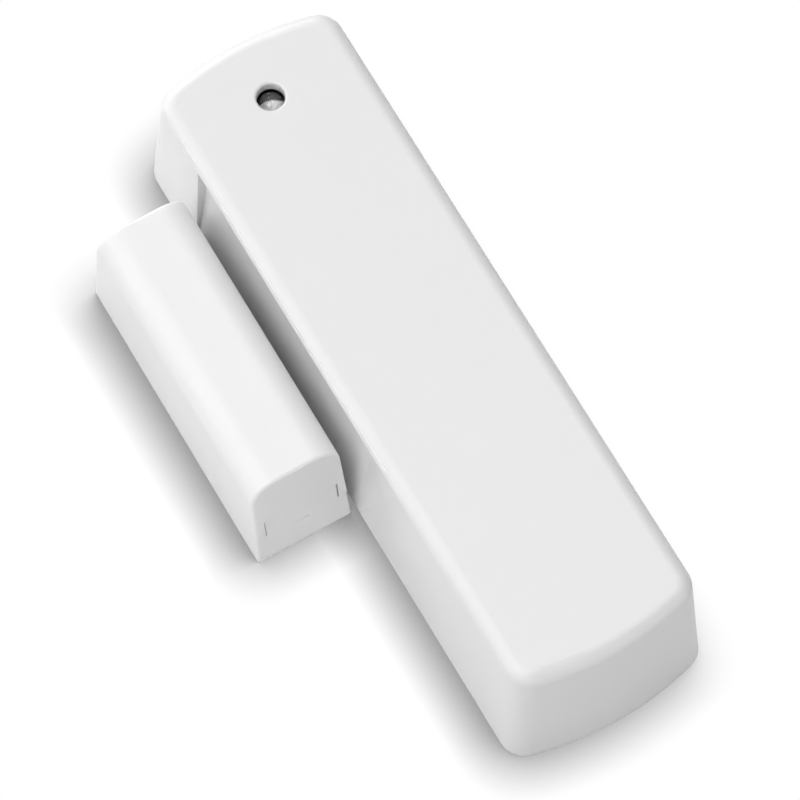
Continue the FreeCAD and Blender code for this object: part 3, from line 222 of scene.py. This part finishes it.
# %% [markdown]
# ## The plastics
# The shells are white styrene plastic with a satin skin. Light goes a little way into it, so that its
# rounded edges look soft, and its grain is too fine to see except where light rakes over it. The same
# function makes the shells, the bases, the chips, the tape, the magnet and the cell's wrap, each with
# its own colour and grain.

# %% The plastic finishes
MILLIMETRES = 1000.0


def plastic(name, colour, gloss, grain_per_mm=6.0, relief=0.002, tone_drift=0.012, **extra):
    """A moulded or coated surface. relief is the grain's depth in mm."""
    material, tree, output = new_material(name)
    shader = principled(tree, output, **extra)
    skin = add(tree, "ShaderNodeGroup", node_tree=skin_group)
    wire(tree, object_place(tree, MILLIMETRES), skin.inputs["Place"])
    skin.inputs["Grain per mm"].default_value = grain_per_mm
    skin.inputs["Tone drift"].default_value = tone_drift
    skin.inputs["Gloss"].default_value = gloss
    skin.inputs["Colour"].default_value = (*colour, 1.0)
    bump = add(tree, "ShaderNodeBump", Strength=1.0)
    bump.inputs["Distance"].default_value = relief / MILLIMETRES
    wire(tree, skin.outputs["Height"], bump.inputs["Height"])
    wire(tree, bump.outputs["Normal"], shader.inputs["Normal"])
    wire(tree, skin.outputs["Roughness"], shader.inputs["Roughness"])
    wire(tree, skin.outputs["Colour"], shader.inputs["Base Color"])
    return material


SATIN = {
    "Coat_Weight": 0.12, "Coat_Roughness": 0.3,
    "Subsurface_Weight": 0.6, "Subsurface_Scale": 0.0006, "Subsurface_Radius": (1.0, 1.0, 1.0),
}
cover_white = plastic("cover_white", (0.85, 0.85, 0.85), 0.42, **SATIN)
magnet_white = plastic("magnet_white", (0.91, 0.91, 0.91), 0.42, **SATIN)
base_white = plastic("base_white", (0.77, 0.77, 0.77), 0.46)
chip_black = plastic("chip_black", (0.022, 0.022, 0.024), 0.55, grain_per_mm=12.0, relief=0.006)
wrap_blue = plastic("wrap_blue", (0.045, 0.10, 0.24), 0.25, relief=0.001, Coat_Weight=0.5)
foam_grey = plastic(
    "foam_grey", (0.62, 0.62, 0.60), 0.8, grain_per_mm=9.0, relief=0.05, tone_drift=0.08,
)
ferrite = plastic(
    "ferrite", (0.05, 0.05, 0.052), 0.5, grain_per_mm=5.0, relief=0.012, tone_drift=0.3,
)
print("plastics made")

# %% [markdown]
# ## The metals
# Leads, can, contacts, spring and screws are tinned, nickelled or plain steel. They differ in colour
# and in gloss, and all of them carry drawn streaks.

# %% The metal finishes
def metal(name, colour, tarnish, gloss, share=0.4, relief=0.003):
    material, tree, output = new_material(name)
    shader = principled(tree, output, Metallic=1.0)
    drawn = add(tree, "ShaderNodeGroup", node_tree=metal_group)
    wire(tree, object_place(tree, MILLIMETRES), drawn.inputs["Place"])
    drawn.inputs["Gloss"].default_value = gloss
    drawn.inputs["Colour"].default_value = (*colour, 1.0)
    drawn.inputs["Tarnish"].default_value = (*tarnish, 1.0)
    drawn.inputs["Tarnish share"].default_value = share
    bump = add(tree, "ShaderNodeBump", Strength=0.6)
    bump.inputs["Distance"].default_value = relief / MILLIMETRES
    wire(tree, drawn.outputs["Height"], bump.inputs["Height"])
    wire(tree, bump.outputs["Normal"], shader.inputs["Normal"])
    wire(tree, drawn.outputs["Roughness"], shader.inputs["Roughness"])
    wire(tree, drawn.outputs["Colour"], shader.inputs["Base Color"])
    return material


tin = metal("tin", (0.72, 0.72, 0.71), (0.50, 0.50, 0.49), 0.32)
nickel = metal("nickel", (0.70, 0.68, 0.63), (0.52, 0.49, 0.43), 0.26)
zinc_steel = metal("zinc_steel", (0.62, 0.64, 0.66), (0.46, 0.46, 0.45), 0.34)
spring_steel = metal("spring_steel", (0.58, 0.57, 0.55), (0.40, 0.38, 0.35), 0.28)
can_steel = metal("can_steel", (0.74, 0.73, 0.70), (0.60, 0.58, 0.54), 0.22)
enamelled_copper = metal("enamelled_copper", (0.72, 0.30, 0.12), (0.50, 0.18, 0.06), 0.22)
print("metals made")

# %% [markdown]
# ## The board
# A printed board is glass cloth under green solder mask. Its copper tracks run in straight lanes under
# the mask as slightly lighter, slightly raised lines, and small round pads join the two sides. Each lane
# is cut into runs by a throw of dice for its lane and stretch, so tracks start and stop as real ones do.

# %% The board's finish
# Lengths in this cell are in mm, and a track is twice TRACK_SHARE of a lane wide.
LANE_PITCH = 0.9
TRACK_SHARE = 0.14
RUN_LENGTH = 6.5
RUN_STAGGER = 0.37
EMPTY_SHARE = 0.45
PADS_PER_MM = 0.3
PAD_RADIUS = 0.24
PATCHES_PER_MM = 0.16
PAD_TIN = (0.62, 0.60, 0.52)
TRACK_HEIGHT = 0.03


def lane_mask(tree, across, along):
    """1 on the tracks that run along one axis. across and along are places in mm."""
    lane = math_node(tree, "DIVIDE", across, LANE_PITCH)
    number = math_node(tree, "FLOOR", lane, 0.0)
    off_centre = math_node(tree, "SUBTRACT", math_node(tree, "FRACT", lane, 0.0), 0.5)
    on_track = math_node(tree, "LESS_THAN", math_node(tree, "ABSOLUTE", off_centre, 0.0), TRACK_SHARE)
    stagger = math_node(tree, "MULTIPLY", number, RUN_STAGGER)
    stretch_place = math_node(tree, "ADD", math_node(tree, "DIVIDE", along, RUN_LENGTH), stagger)
    stretch = math_node(tree, "FLOOR", stretch_place, 0.0)
    dice_place = add(tree, "ShaderNodeCombineXYZ")
    wire(tree, number, dice_place.inputs["X"])
    wire(tree, stretch, dice_place.inputs["Y"])
    dice = add(tree, "ShaderNodeTexWhiteNoise", noise_dimensions="3D")
    wire(tree, dice_place.outputs["Vector"], dice.inputs["Vector"])
    kept = math_node(tree, "GREATER_THAN", dice.outputs["Value"], EMPTY_SHARE)
    return math_node(tree, "MULTIPLY", on_track, kept)


def printed_board(name, mask_colour, track_colour):
    material, tree, output = new_material(name)
    shader = principled(tree, output, Roughness=0.3, Coat_Weight=0.3)
    where = object_place(tree, MILLIMETRES)
    axes = add(tree, "ShaderNodeSeparateXYZ")
    wire(tree, where, axes.inputs["Vector"])
    lengthways = lane_mask(tree, axes.outputs["X"], axes.outputs["Y"])
    crossways = lane_mask(tree, axes.outputs["Y"], axes.outputs["X"])
    patches = add(tree, "ShaderNodeTexNoise", Scale=PATCHES_PER_MM, Detail=0.0)
    wire(tree, where, patches.inputs["Vector"])
    swap = math_node(tree, "GREATER_THAN", patches.outputs["Fac"], 0.52)
    tracks = add(tree, "ShaderNodeMix", data_type="FLOAT")
    wire(tree, swap, tracks.inputs["Factor"])
    wire(tree, lengthways, tracks.inputs["A"])
    wire(tree, crossways, tracks.inputs["B"])
    spots = add(
        tree, "ShaderNodeTexVoronoi", voronoi_dimensions="2D", Scale=PADS_PER_MM, Randomness=0.8,
    )
    wire(tree, where, spots.inputs["Vector"])
    pads = math_node(tree, "LESS_THAN", spots.outputs["Distance"], PAD_RADIUS * PADS_PER_MM)
    raised = math_node(tree, "MAXIMUM", tracks.outputs["Result"], pads)
    tinted = add(tree, "ShaderNodeMix", data_type="RGBA")
    tinted.inputs["A"].default_value = (*mask_colour, 1.0)
    tinted.inputs["B"].default_value = (*track_colour, 1.0)
    wire(tree, tracks.outputs["Result"], tinted.inputs["Factor"])
    colours = add(tree, "ShaderNodeMix", data_type="RGBA")
    wire(tree, pads, colours.inputs["Factor"])
    wire(tree, tinted.outputs["Result"], colours.inputs["A"])
    colours.inputs["B"].default_value = (*PAD_TIN, 1.0)
    wire(tree, colours.outputs["Result"], shader.inputs["Base Color"])
    bump = add(tree, "ShaderNodeBump", Strength=0.7)
    bump.inputs["Distance"].default_value = TRACK_HEIGHT / MILLIMETRES
    wire(tree, raised, bump.inputs["Height"])
    wire(tree, bump.outputs["Normal"], shader.inputs["Normal"])
    return material


board_green = printed_board("board_green", (0.012, 0.085, 0.035), (0.03, 0.17, 0.065))
board_blue = printed_board("board_blue", (0.01, 0.04, 0.10), (0.03, 0.10, 0.20))
print("boards made")

# %% [markdown]
# ## Clear resin and glass
# The status light is cast in clear resin, and the reed switch is drawn from slightly green glass that
# takes up heat when it is sealed. Both are plain see-through finishes with a steady gloss and a faint
# ripple, because clear things get their look from what is behind them.

# %% The clear finishes
RIPPLES_PER_MM = 0.8
RIPPLE_HEIGHT = 0.02


def clear(name, colour, ior, roughness, weight=1.0):
    material, tree, output = new_material(name)
    shader = principled(
        tree, output, IOR=ior, Roughness=roughness, Transmission_Weight=weight,
        Base_Color=(*colour, 1.0),
    )
    ripple = add(tree, "ShaderNodeTexNoise", Scale=RIPPLES_PER_MM, Detail=1.0)
    wire(tree, object_place(tree, MILLIMETRES), ripple.inputs["Vector"])
    bump = add(tree, "ShaderNodeBump", Strength=0.2)
    bump.inputs["Distance"].default_value = RIPPLE_HEIGHT / MILLIMETRES
    wire(tree, ripple.outputs["Fac"], bump.inputs["Height"])
    wire(tree, bump.outputs["Normal"], shader.inputs["Normal"])
    return material


clear_resin = clear("clear_resin", (0.93, 0.94, 0.95), 1.52, 0.03, weight=0.95)
reed_glass = clear("reed_glass", (0.80, 0.92, 0.84), 1.5, 0.02)
print("clear finishes made")

# %% [markdown]
# ## Chip parts, and a finish for every solid
# A chip capacitor is a tan ceramic block and a chip resistor a black one, both with tinned ends. A
# plain body finish is enough here, because the ends come later as caps of their own. Then each solid
# of the frame gets the finish that its material has on the real object.

# %% The ceramic finishes
ceramic_tan = plastic(
    "ceramic_tan", (0.40, 0.27, 0.14), 0.45, grain_per_mm=8.0, relief=0.004, tone_drift=0.2,
)
resistor_black = plastic(
    "resistor_black", (0.03, 0.03, 0.032), 0.3, grain_per_mm=8.0, relief=0.002,
)
print("ceramics made:", ceramic_tan.name, resistor_black.name)

# %% Every CAD node gets its finish
FINISHES = {
    "sensor_cover": cover_white, "magnet_cover": magnet_white, "sensor_base": base_white,
    "magnet_base": magnet_white, "sensor_adhesive": foam_grey, "magnet_adhesive": foam_grey,
    "circuit_board": board_green, "radio_module": board_blue, "board_screws": zinc_steel,
    "led_lens": clear_resin, "led_leads": tin, "reed_capsule": reed_glass,
    "reed_blade_near": tin, "reed_blade_far": tin, "tamper_contact": spring_steel,
    "shield_can": can_steel, "microcontroller": chip_black, "microcontroller_legs": tin,
    "crystal": can_steel, "capacitors": ceramic_tan, "resistors": resistor_black,
    "antenna": enamelled_copper, "battery": nickel, "battery_wrap": wrap_blue,
    "battery_contact": nickel, "battery_spring_plate": nickel, "battery_spring": spring_steel,
    "bar_magnet": ferrite,
}
for name, thing in nodes.items():
    thing.data.materials.clear()
    thing.data.materials.append(FINISHES[name])
print("finished nodes:", len(FINISHES))

# %% [markdown]
# ## What stands in the light's resin
# A clear light is not empty: its two legs go on up into the resin. One ends in a broad post with a
# dished cup that holds the chip, the other in a narrow post that a hair-thin wire joins to the chip.
# That gives the dark upper half, the bright lower half and the bright speck of the photograph. A short
# profile turned on a lathe makes the cup, and bevelled blocks make the posts.

# %% Helpers for meshes
def finish_mesh(name, mesh_maker, material):
    """Turns a bmesh into a piece that rides on the root body."""
    mesh = bpy.data.meshes.new(name)
    mesh_maker.to_mesh(mesh)
    mesh_maker.free()
    piece = bpy.data.objects.new(name, mesh)
    bpy.context.scene.collection.objects.link(piece)
    mesh.materials.append(material)
    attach(piece, "root")
    return piece


def lathe(profile, centre, steps=48):
    """A closed turned solid about a vertical line. profile is (radius, height), axis to axis."""
    shape = bmesh.new()
    rings = []
    for radius, height in profile:
        if radius == 0.0:
            rings.append([shape.verts.new((centre.x, centre.y, height))])
            continue
        rings.append([
            shape.verts.new((
                centre.x + radius * math.cos(2 * math.pi * k / steps),
                centre.y + radius * math.sin(2 * math.pi * k / steps),
                height,
            ))
            for k in range(steps)
        ])
    for lower, upper in zip(rings, rings[1:]):
        for k in range(steps):
            after = (k + 1) % steps
            corners = [lower[k % len(lower)], lower[after % len(lower)],
                       upper[after % len(upper)], upper[k % len(upper)]]
            unique = list(dict.fromkeys(corners))
            if len(unique) > 2:
                shape.faces.new(unique)
    bmesh.ops.recalc_face_normals(shape, faces=shape.faces)
    for face in shape.faces:
        face.smooth = True
    return shape


def block(low, high, bevel=0.00004):
    shape = bmesh.new()
    bmesh.ops.create_cube(shape, size=1.0)
    size = Vector(high) - Vector(low)
    middle = (Vector(high) + Vector(low)) / 2
    bmesh.ops.scale(shape, vec=size, verts=shape.verts)
    bmesh.ops.translate(shape, vec=middle, verts=shape.verts)
    bmesh.ops.bevel(shape, geom=shape.edges[:], offset=bevel, segments=2, affect="EDGES")
    return shape


print("mesh helpers ready")

# %% The posts, cup, chip and wire of the light
lens_low, lens_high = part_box("led_lens")
leads_low, leads_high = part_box("led_leads")
light_centre = (lens_low + lens_high) / 2
LEG_WIDTH = 0.0005
CUP_BELOW_DOME = 0.0022
CUP_RADIUS = 0.00075
CUP_STEM_RADIUS = 0.00045
CUP_HEIGHT = 0.0009
CUP_RIM_HEIGHT = 0.0004
CUP_DISH_DEPTH = 0.00035
CUP_OFFSET = 0.00014
POST_FOOT = 0.0001
WIDE_POST_REACH = 0.0003
WIDE_POST_BELOW_CUP_TOP = 0.0008
NARROW_POST_START = 0.00085
NARROW_POST_INSET = 0.0003
NARROW_POST_ABOVE_CUP = 0.0001
CHIP_HALF = 0.00013
CHIP_FOOT = 0.00034
CHIP_TOP = 0.00018

cup_top = lens_high.z - CUP_BELOW_DOME
cup_profile = [
    (0.0, cup_top - CUP_HEIGHT), (CUP_STEM_RADIUS, cup_top - CUP_HEIGHT),
    (CUP_RADIUS, cup_top - CUP_RIM_HEIGHT), (CUP_RADIUS, cup_top), (CUP_RADIUS * 0.9, cup_top),
    (CUP_RADIUS * 0.5, cup_top - CUP_DISH_DEPTH), (0.0, cup_top - CUP_DISH_DEPTH),
]
silver = metal("silver", (0.74, 0.74, 0.73), (0.66, 0.66, 0.65), 0.62, share=0.3)
cup_centre = light_centre - Vector((0.0, CUP_OFFSET, 0.0))
light_cup = finish_mesh("light_cup", lathe(cup_profile, cup_centre), silver)

post_y = (light_centre.y - LEG_WIDTH / 2, light_centre.y + LEG_WIDTH / 2)
post_low = lens_low.z + POST_FOOT
wide_low = (leads_low.x, post_y[0], post_low)
wide_high = (light_centre.x + WIDE_POST_REACH, post_y[1], cup_top - WIDE_POST_BELOW_CUP_TOP)
wide_post = finish_mesh("light_wide_post", block(wide_low, wide_high), tin)
narrow_low = (light_centre.x + NARROW_POST_START, post_y[0], post_low)
narrow_high = (leads_high.x - NARROW_POST_INSET, post_y[1], cup_top + NARROW_POST_ABOVE_CUP)
narrow_post = finish_mesh("light_narrow_post", block(narrow_low, narrow_high), tin)

chip_yellow = plastic("chip_yellow", (0.62, 0.60, 0.42), 0.35, relief=0.001)
chip_low = (cup_centre.x - CHIP_HALF, cup_centre.y - CHIP_HALF, cup_top - CHIP_FOOT)
chip_high = (cup_centre.x + CHIP_HALF, cup_centre.y + CHIP_HALF, cup_top - CHIP_TOP)
light_chip = finish_mesh("light_chip", block(chip_low, chip_high, bevel=0.00001), chip_yellow)
print("light pieces:", [o.name for o in (light_cup, wide_post, narrow_post, light_chip)])

# %% The hair wire of the light
WIRE_RADIUS = 0.000018
WIRE_ARCH = 0.0005
POST_TOP_X = 0.001
wire_line = bpy.data.curves.new("hair_wire_line", "CURVE")
wire_line.dimensions = "3D"
wire_line.bevel_depth = WIRE_RADIUS
wire_line.bevel_resolution = 2
chip_top = Vector((cup_centre.x, cup_centre.y, cup_top - CHIP_TOP))
post_top = Vector((light_centre.x + POST_TOP_X, light_centre.y, cup_top + NARROW_POST_ABOVE_CUP))
arch_top = (chip_top + post_top) / 2 + Vector((0.0, 0.0, WIRE_ARCH))
run = wire_line.splines.new("NURBS")
run.points.add(3)
for point, at in zip(run.points, (chip_top, chip_top.lerp(arch_top, 0.8), arch_top, post_top)):
    point.co = (*at, 1.0)
run.order_u = 3
run.use_endpoint_u = True
wire_holder = bpy.data.objects.new("hair_wire_line", wire_line)
wire_mesh = bmesh.new()
wire_mesh.from_mesh(bpy.data.meshes.new_from_object(wire_holder))
bpy.data.objects.remove(wire_holder)
hair_wire = finish_mesh("light_hair_wire", wire_mesh, tin)
print("hair wire vertices:", len(hair_wire.data.vertices))

# %% [markdown]
# ## Solder and tinned ends
# Every joint of a board is tinned: a chip part has a tin cap on each end, and a lead or a pin stands
# in a small cone of solder. Such things repeat dozens of times at places that the frame gives, so a
# geometry tree copies one simple shape to a list of points, each with its own size.

# %% Where the parts of a node stand
def islands(name):
    """The box of each separate solid in a node, as (low, high) in metres."""
    shape = bmesh.new()
    shape.from_mesh(nodes[name].data)
    bmesh.ops.remove_doubles(shape, verts=shape.verts, dist=1e-7)
    waiting = set(shape.verts)
    boxes = []
    while waiting:
        front = [waiting.pop()]
        found = list(front)
        while front:
            vertex = front.pop()
            for edge in vertex.link_edges:
                other = edge.other_vert(vertex)
                if other in waiting:
                    waiting.remove(other)
                    front.append(other)
                    found.append(other)
        columns = list(zip(*[vertex.co for vertex in found]))
        boxes.append((Vector(map(min, columns)), Vector(map(max, columns))))
    shape.free()
    return boxes


chips = islands("capacitors") + islands("resistors")
legs = islands("led_leads")
pins = islands("microcontroller_legs")
print("chip parts:", len(chips), "light legs:", len(legs), "chip pins:", len(pins))

# %% The copying tree
CONE_SIDES = 20
CONE_TOP_SHARE = 0.35


def copying_tree(name, shape_kind):
    """A tree that puts one shape on every point, scaled by the point's size."""
    tree = bpy.data.node_groups.new(name, "GeometryNodeTree")
    tree.is_modifier = True
    socket = tree.interface.new_socket
    socket("Points", in_out="INPUT", socket_type="NodeSocketGeometry")
    socket("Finish", in_out="INPUT", socket_type="NodeSocketMaterial")
    socket("Sides", in_out="INPUT", socket_type="NodeSocketInt").default_value = CONE_SIDES
    top_share = socket("Top share", in_out="INPUT", socket_type="NodeSocketFloat")
    top_share.default_value = CONE_TOP_SHARE
    socket("Copies", in_out="OUTPUT", socket_type="NodeSocketGeometry")
    start = tree.nodes.new("NodeGroupInput")
    end = tree.nodes.new("NodeGroupOutput")
    if shape_kind == "cone":
        shape = add(tree, "GeometryNodeMeshCone", Depth=1.0)
        shape.inputs["Radius Bottom"].default_value = 0.5
        half = math_node(tree, "MULTIPLY", start.outputs["Top share"], 0.5)
        wire(tree, half, shape.inputs["Radius Top"])
        wire(tree, start.outputs["Sides"], shape.inputs["Vertices"])
    else:
        shape = add(tree, "GeometryNodeMeshCube")
    size = add(tree, "GeometryNodeInputNamedAttribute", data_type="FLOAT_VECTOR")
    size.inputs["Name"].default_value = "size"
    copies = add(tree, "GeometryNodeInstanceOnPoints")
    solid = add(tree, "GeometryNodeRealizeInstances")
    finish = add(tree, "GeometryNodeSetMaterial")
    wire(tree, start.outputs["Points"], copies.inputs["Points"])
    wire(tree, shape.outputs["Mesh"], copies.inputs["Instance"])
    wire(tree, size.outputs["Attribute"], copies.inputs["Scale"])
    wire(tree, copies.outputs["Instances"], solid.inputs["Geometry"])
    wire(tree, solid.outputs["Geometry"], finish.inputs["Geometry"])
    wire(tree, start.outputs["Finish"], finish.inputs["Material"])
    wire(tree, finish.outputs["Geometry"], end.inputs["Copies"])
    return tree


def copies(name, tree, places, sizes, material, slot_name):
    """Runs a copying tree over places with sizes and keeps the result as one plain piece."""
    points = bpy.data.meshes.new(name + "_points")
    points.from_pydata([tuple(place) for place in places], [], [])
    stored = points.attributes.new("size", "FLOAT_VECTOR", "POINT")
    for item, size in zip(stored.data, sizes):
        item.vector = size
    holder = bpy.data.objects.new(name + "_points", points)
    bpy.context.scene.collection.objects.link(holder)
    modifier = holder.modifiers.new("copies", "NODES")
    modifier.node_group = tree
    finish_socket = tree.interface.items_tree["Finish"].identifier
    modifier[finish_socket] = material
    evaluated = holder.evaluated_get(bpy.context.evaluated_depsgraph_get())
    shape = bmesh.new()
    shape.from_mesh(bpy.data.meshes.new_from_object(evaluated))
    holder.modifiers.remove(modifier)
    bpy.data.objects.remove(holder)
    return finish_mesh(name, shape, material)


block_tree = copying_tree("Blocks at points", "block")
cone_tree = copying_tree("Cones at points", "cone")
print("copying trees:", block_tree.name, "and", cone_tree.name)

# %% The tinned ends of the chip parts
CAP_SHARE = 0.2
CAP_SKIN = 0.00002
cap_places = []
cap_sizes = []
for low, high in chips:
    size = high - low
    middle = (low + high) / 2
    long_way = 0 if size.x > size.y else 1
    thickness = size[long_way] * CAP_SHARE
    for end in (-1, 1):
        place = middle.copy()
        cap = size + Vector((1.0, 1.0, 1.0)) * 2 * CAP_SKIN
        place[long_way] += end * (size[long_way] / 2 - thickness / 2 + CAP_SKIN)
        cap[long_way] = thickness
        cap_places.append(place)
        cap_sizes.append(cap)
chip_caps = copies("chip_caps", block_tree, cap_places, cap_sizes, tin, "tin")
print("tinned ends:", len(cap_places), "in", chip_caps.name)

# %% The solder cones
SOLDER_WIDTH = 0.0013
SOLDER_HEIGHT = 0.00055
LEAD_RADIUS = 0.0003
PIN_SOLDER = (0.0005, 0.0004, -0.00016)
board_low, board_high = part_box("circuit_board")
chip_body_low, chip_body_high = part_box("microcontroller")
chip_middle = (chip_body_low.x + chip_body_high.x) / 2
cone_places = []
cone_sizes = []
for low, high in legs:
    middle = (low + high) / 2
    cone_places.append((middle.x, middle.y, board_low.z))
    cone_sizes.append((SOLDER_WIDTH, SOLDER_WIDTH, -SOLDER_HEIGHT))
for name, end in (("reed_blade_near", "low"), ("reed_blade_far", "high")):
    low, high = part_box(name)
    y = low.y + LEAD_RADIUS if end == "low" else high.y - LEAD_RADIUS
    cone_places.append(((low.x + high.x) / 2, y, board_high.z))
    cone_sizes.append((SOLDER_WIDTH, SOLDER_WIDTH, SOLDER_HEIGHT))
for low, high in pins:
    outer = low.x if high.x < chip_middle else high.x
    cone_places.append((outer, (low.y + high.y) / 2, board_low.z))
    cone_sizes.append(PIN_SOLDER)
solder_cones = copies("solder_cones", cone_tree, cone_places, cone_sizes, tin, "tin")
print("solder cones:", len(cone_places), "in", solder_cones.name)

# %% [markdown]
# ## The studio
# The product stands on a white floor. The main softbox hangs above and to the left, so that it reaches
# down into the groove between the two blocks, and low soft lamps on most sides, like lit white walls,
# keep the leaning side faces nearly as light as the top, as they are in the photograph.
# What the camera, a shiny face or clear resin sees of the floor is plain white with a painted shadow.
# Only in the last millimetres before the object's foot is the white painted darker, by how much the
# object hides of the sky round a normal tilted towards the far right, so that the painted shadow lies on
# the left and near sides as if a soft light stood at the far right, and that is the whole shadow in the
# photograph too; no lamp casts it. For all other light the floor is a white card. The room round it is
# white in the same three ways, and nearly dark for all other light.

# %% The floor
FLOOR_HALF = 1.5
FLOOR_WHITE = 0.80
FOOT_SHADOW_REACH = 0.0052
FOOT_SHADOW_DEPTH = 0.98
FOOT_SHADOW_SIDE = (0.62, 0.28, 1.0)
FLOOR_GAP = 0.00002

floor_mesh = bpy.data.meshes.new("floor")
floor_mesh.from_pydata(
    [(-FLOOR_HALF, -FLOOR_HALF, -FLOOR_GAP), (FLOOR_HALF, -FLOOR_HALF, -FLOOR_GAP),
     (FLOOR_HALF, FLOOR_HALF, -FLOOR_GAP), (-FLOOR_HALF, FLOOR_HALF, -FLOOR_GAP)],
    [], [(0, 1, 2, 3)],
)
floor = bpy.data.objects.new("floor", floor_mesh)
bpy.context.scene.collection.objects.link(floor)


def looked_at(tree, *kinds):
    """1 where a ray of one of the kinds arrives, else 0."""
    ray = add(tree, "ShaderNodeLightPath")
    found = ray.outputs[kinds[0]]
    for kind in kinds[1:]:
        found = math_node(tree, "MAXIMUM", found, ray.outputs[kind])
    return found


SEEN_RAYS = ("Is Camera Ray", "Is Glossy Ray", "Is Transmission Ray")
floor_paint, tree, output = new_material("floor_paint")
card = add(tree, "ShaderNodeBsdfDiffuse")
card.inputs["Color"].default_value = (FLOOR_WHITE, FLOOR_WHITE, FLOOR_WHITE, 1.0)
# Painted shadow: an occlusion test round a normal tilted towards FOOT_SHADOW_SIDE paints the floor's
# seen white darker near the object's foot; no lamp casts this shadow.
side = add(tree, "ShaderNodeVectorMath", operation="NORMALIZE")
side.inputs[0].default_value = FOOT_SHADOW_SIDE
openness = add(tree, "ShaderNodeAmbientOcclusion", samples=16, Distance=FOOT_SHADOW_REACH)
wire(tree, side.outputs["Vector"], openness.inputs["Normal"])
painted_foot_shadow = math_node(tree, "SUBTRACT", 1.0, openness.outputs["AO"])
painted_foot_shadow = math_node(tree, "MULTIPLY", painted_foot_shadow, FOOT_SHADOW_DEPTH)
painted_foot_shadow = math_node(tree, "SUBTRACT", 1.0, painted_foot_shadow)
# The white that rays see, with the painted shadow near the foot.
white_with_painted_shadow = add(tree, "ShaderNodeEmission")
wire(tree, painted_foot_shadow, white_with_painted_shadow.inputs["Strength"])
face = add(tree, "ShaderNodeMixShader")
wire(tree, looked_at(tree, *SEEN_RAYS), face.inputs["Fac"])
wire(tree, card.outputs["BSDF"], face.inputs[1])
wire(tree, white_with_painted_shadow.outputs["Emission"], face.inputs[2])
wire(tree, face.outputs["Shader"], output.inputs["Surface"])
floor_mesh.materials.append(floor_paint)
print("floor white:", FLOOR_WHITE, "shadow reach in mm:", 1000 * FOOT_SHADOW_REACH)

# %% The room's white
WORLD_STRENGTH = 0.02
world = bpy.data.worlds.new("white_room")
bpy.context.scene.world = world
world.use_nodes = True
room = world.node_tree
backdrop = room.nodes["Background"]
backdrop.inputs["Color"].default_value = (1.0, 1.0, 1.0, 1.0)
strength = math_node(room, "MULTIPLY", looked_at(room, *SEEN_RAYS), 1.0 - WORLD_STRENGTH)
strength = math_node(room, "ADD", strength, WORLD_STRENGTH)
wire(room, strength, backdrop.inputs["Strength"])
print("room made, strength for all other light:", WORLD_STRENGTH)

# %% The lights
def soft_light(name, direction, distance, size, strength):
    """A square lamp that looks at the object from a direction. strength is in watts."""
    lamp = bpy.data.lights.new(name, "AREA")
    lamp.shape = "SQUARE"
    lamp.size = size
    lamp.energy = strength
    thing = bpy.data.objects.new(name, lamp)
    towards = Vector(direction).normalized()
    thing.location = towards * distance
    thing.rotation_mode = "QUATERNION"
    thing.rotation_quaternion = towards.to_track_quat("Z", "Y")
    bpy.context.scene.collection.objects.link(thing)


soft_light("main_softbox", (-0.45, -0.1, 1.0), 1.0, 0.5, 4.6)
soft_light("right_softbox", (0.25, 0.12, 1.0), 1.0, 0.45, 1.9)
soft_light("near_wall", (0.0, -1.0, 0.45), 0.9, 0.55, 0.6)
soft_light("near_right_wall", (0.6, -0.8, 0.35), 0.9, 0.55, 0.9)
soft_light("far_left_wall", (-0.75, 0.66, 0.33), 0.9, 0.55, 1.7)
soft_light("left_wall", (-0.9, -0.3, 0.36), 0.9, 0.55, 1.15)
soft_light("far_wall", (0.1, 1.0, 0.4), 0.9, 0.55, 3.7)
print("lamps made:", len(bpy.data.lights))

# %% [markdown]
# ## Colour
# The picture uses the plain Standard view, so a colour shows as it is written.

# %% Finish
bpy.context.scene.view_settings.view_transform = "Standard"
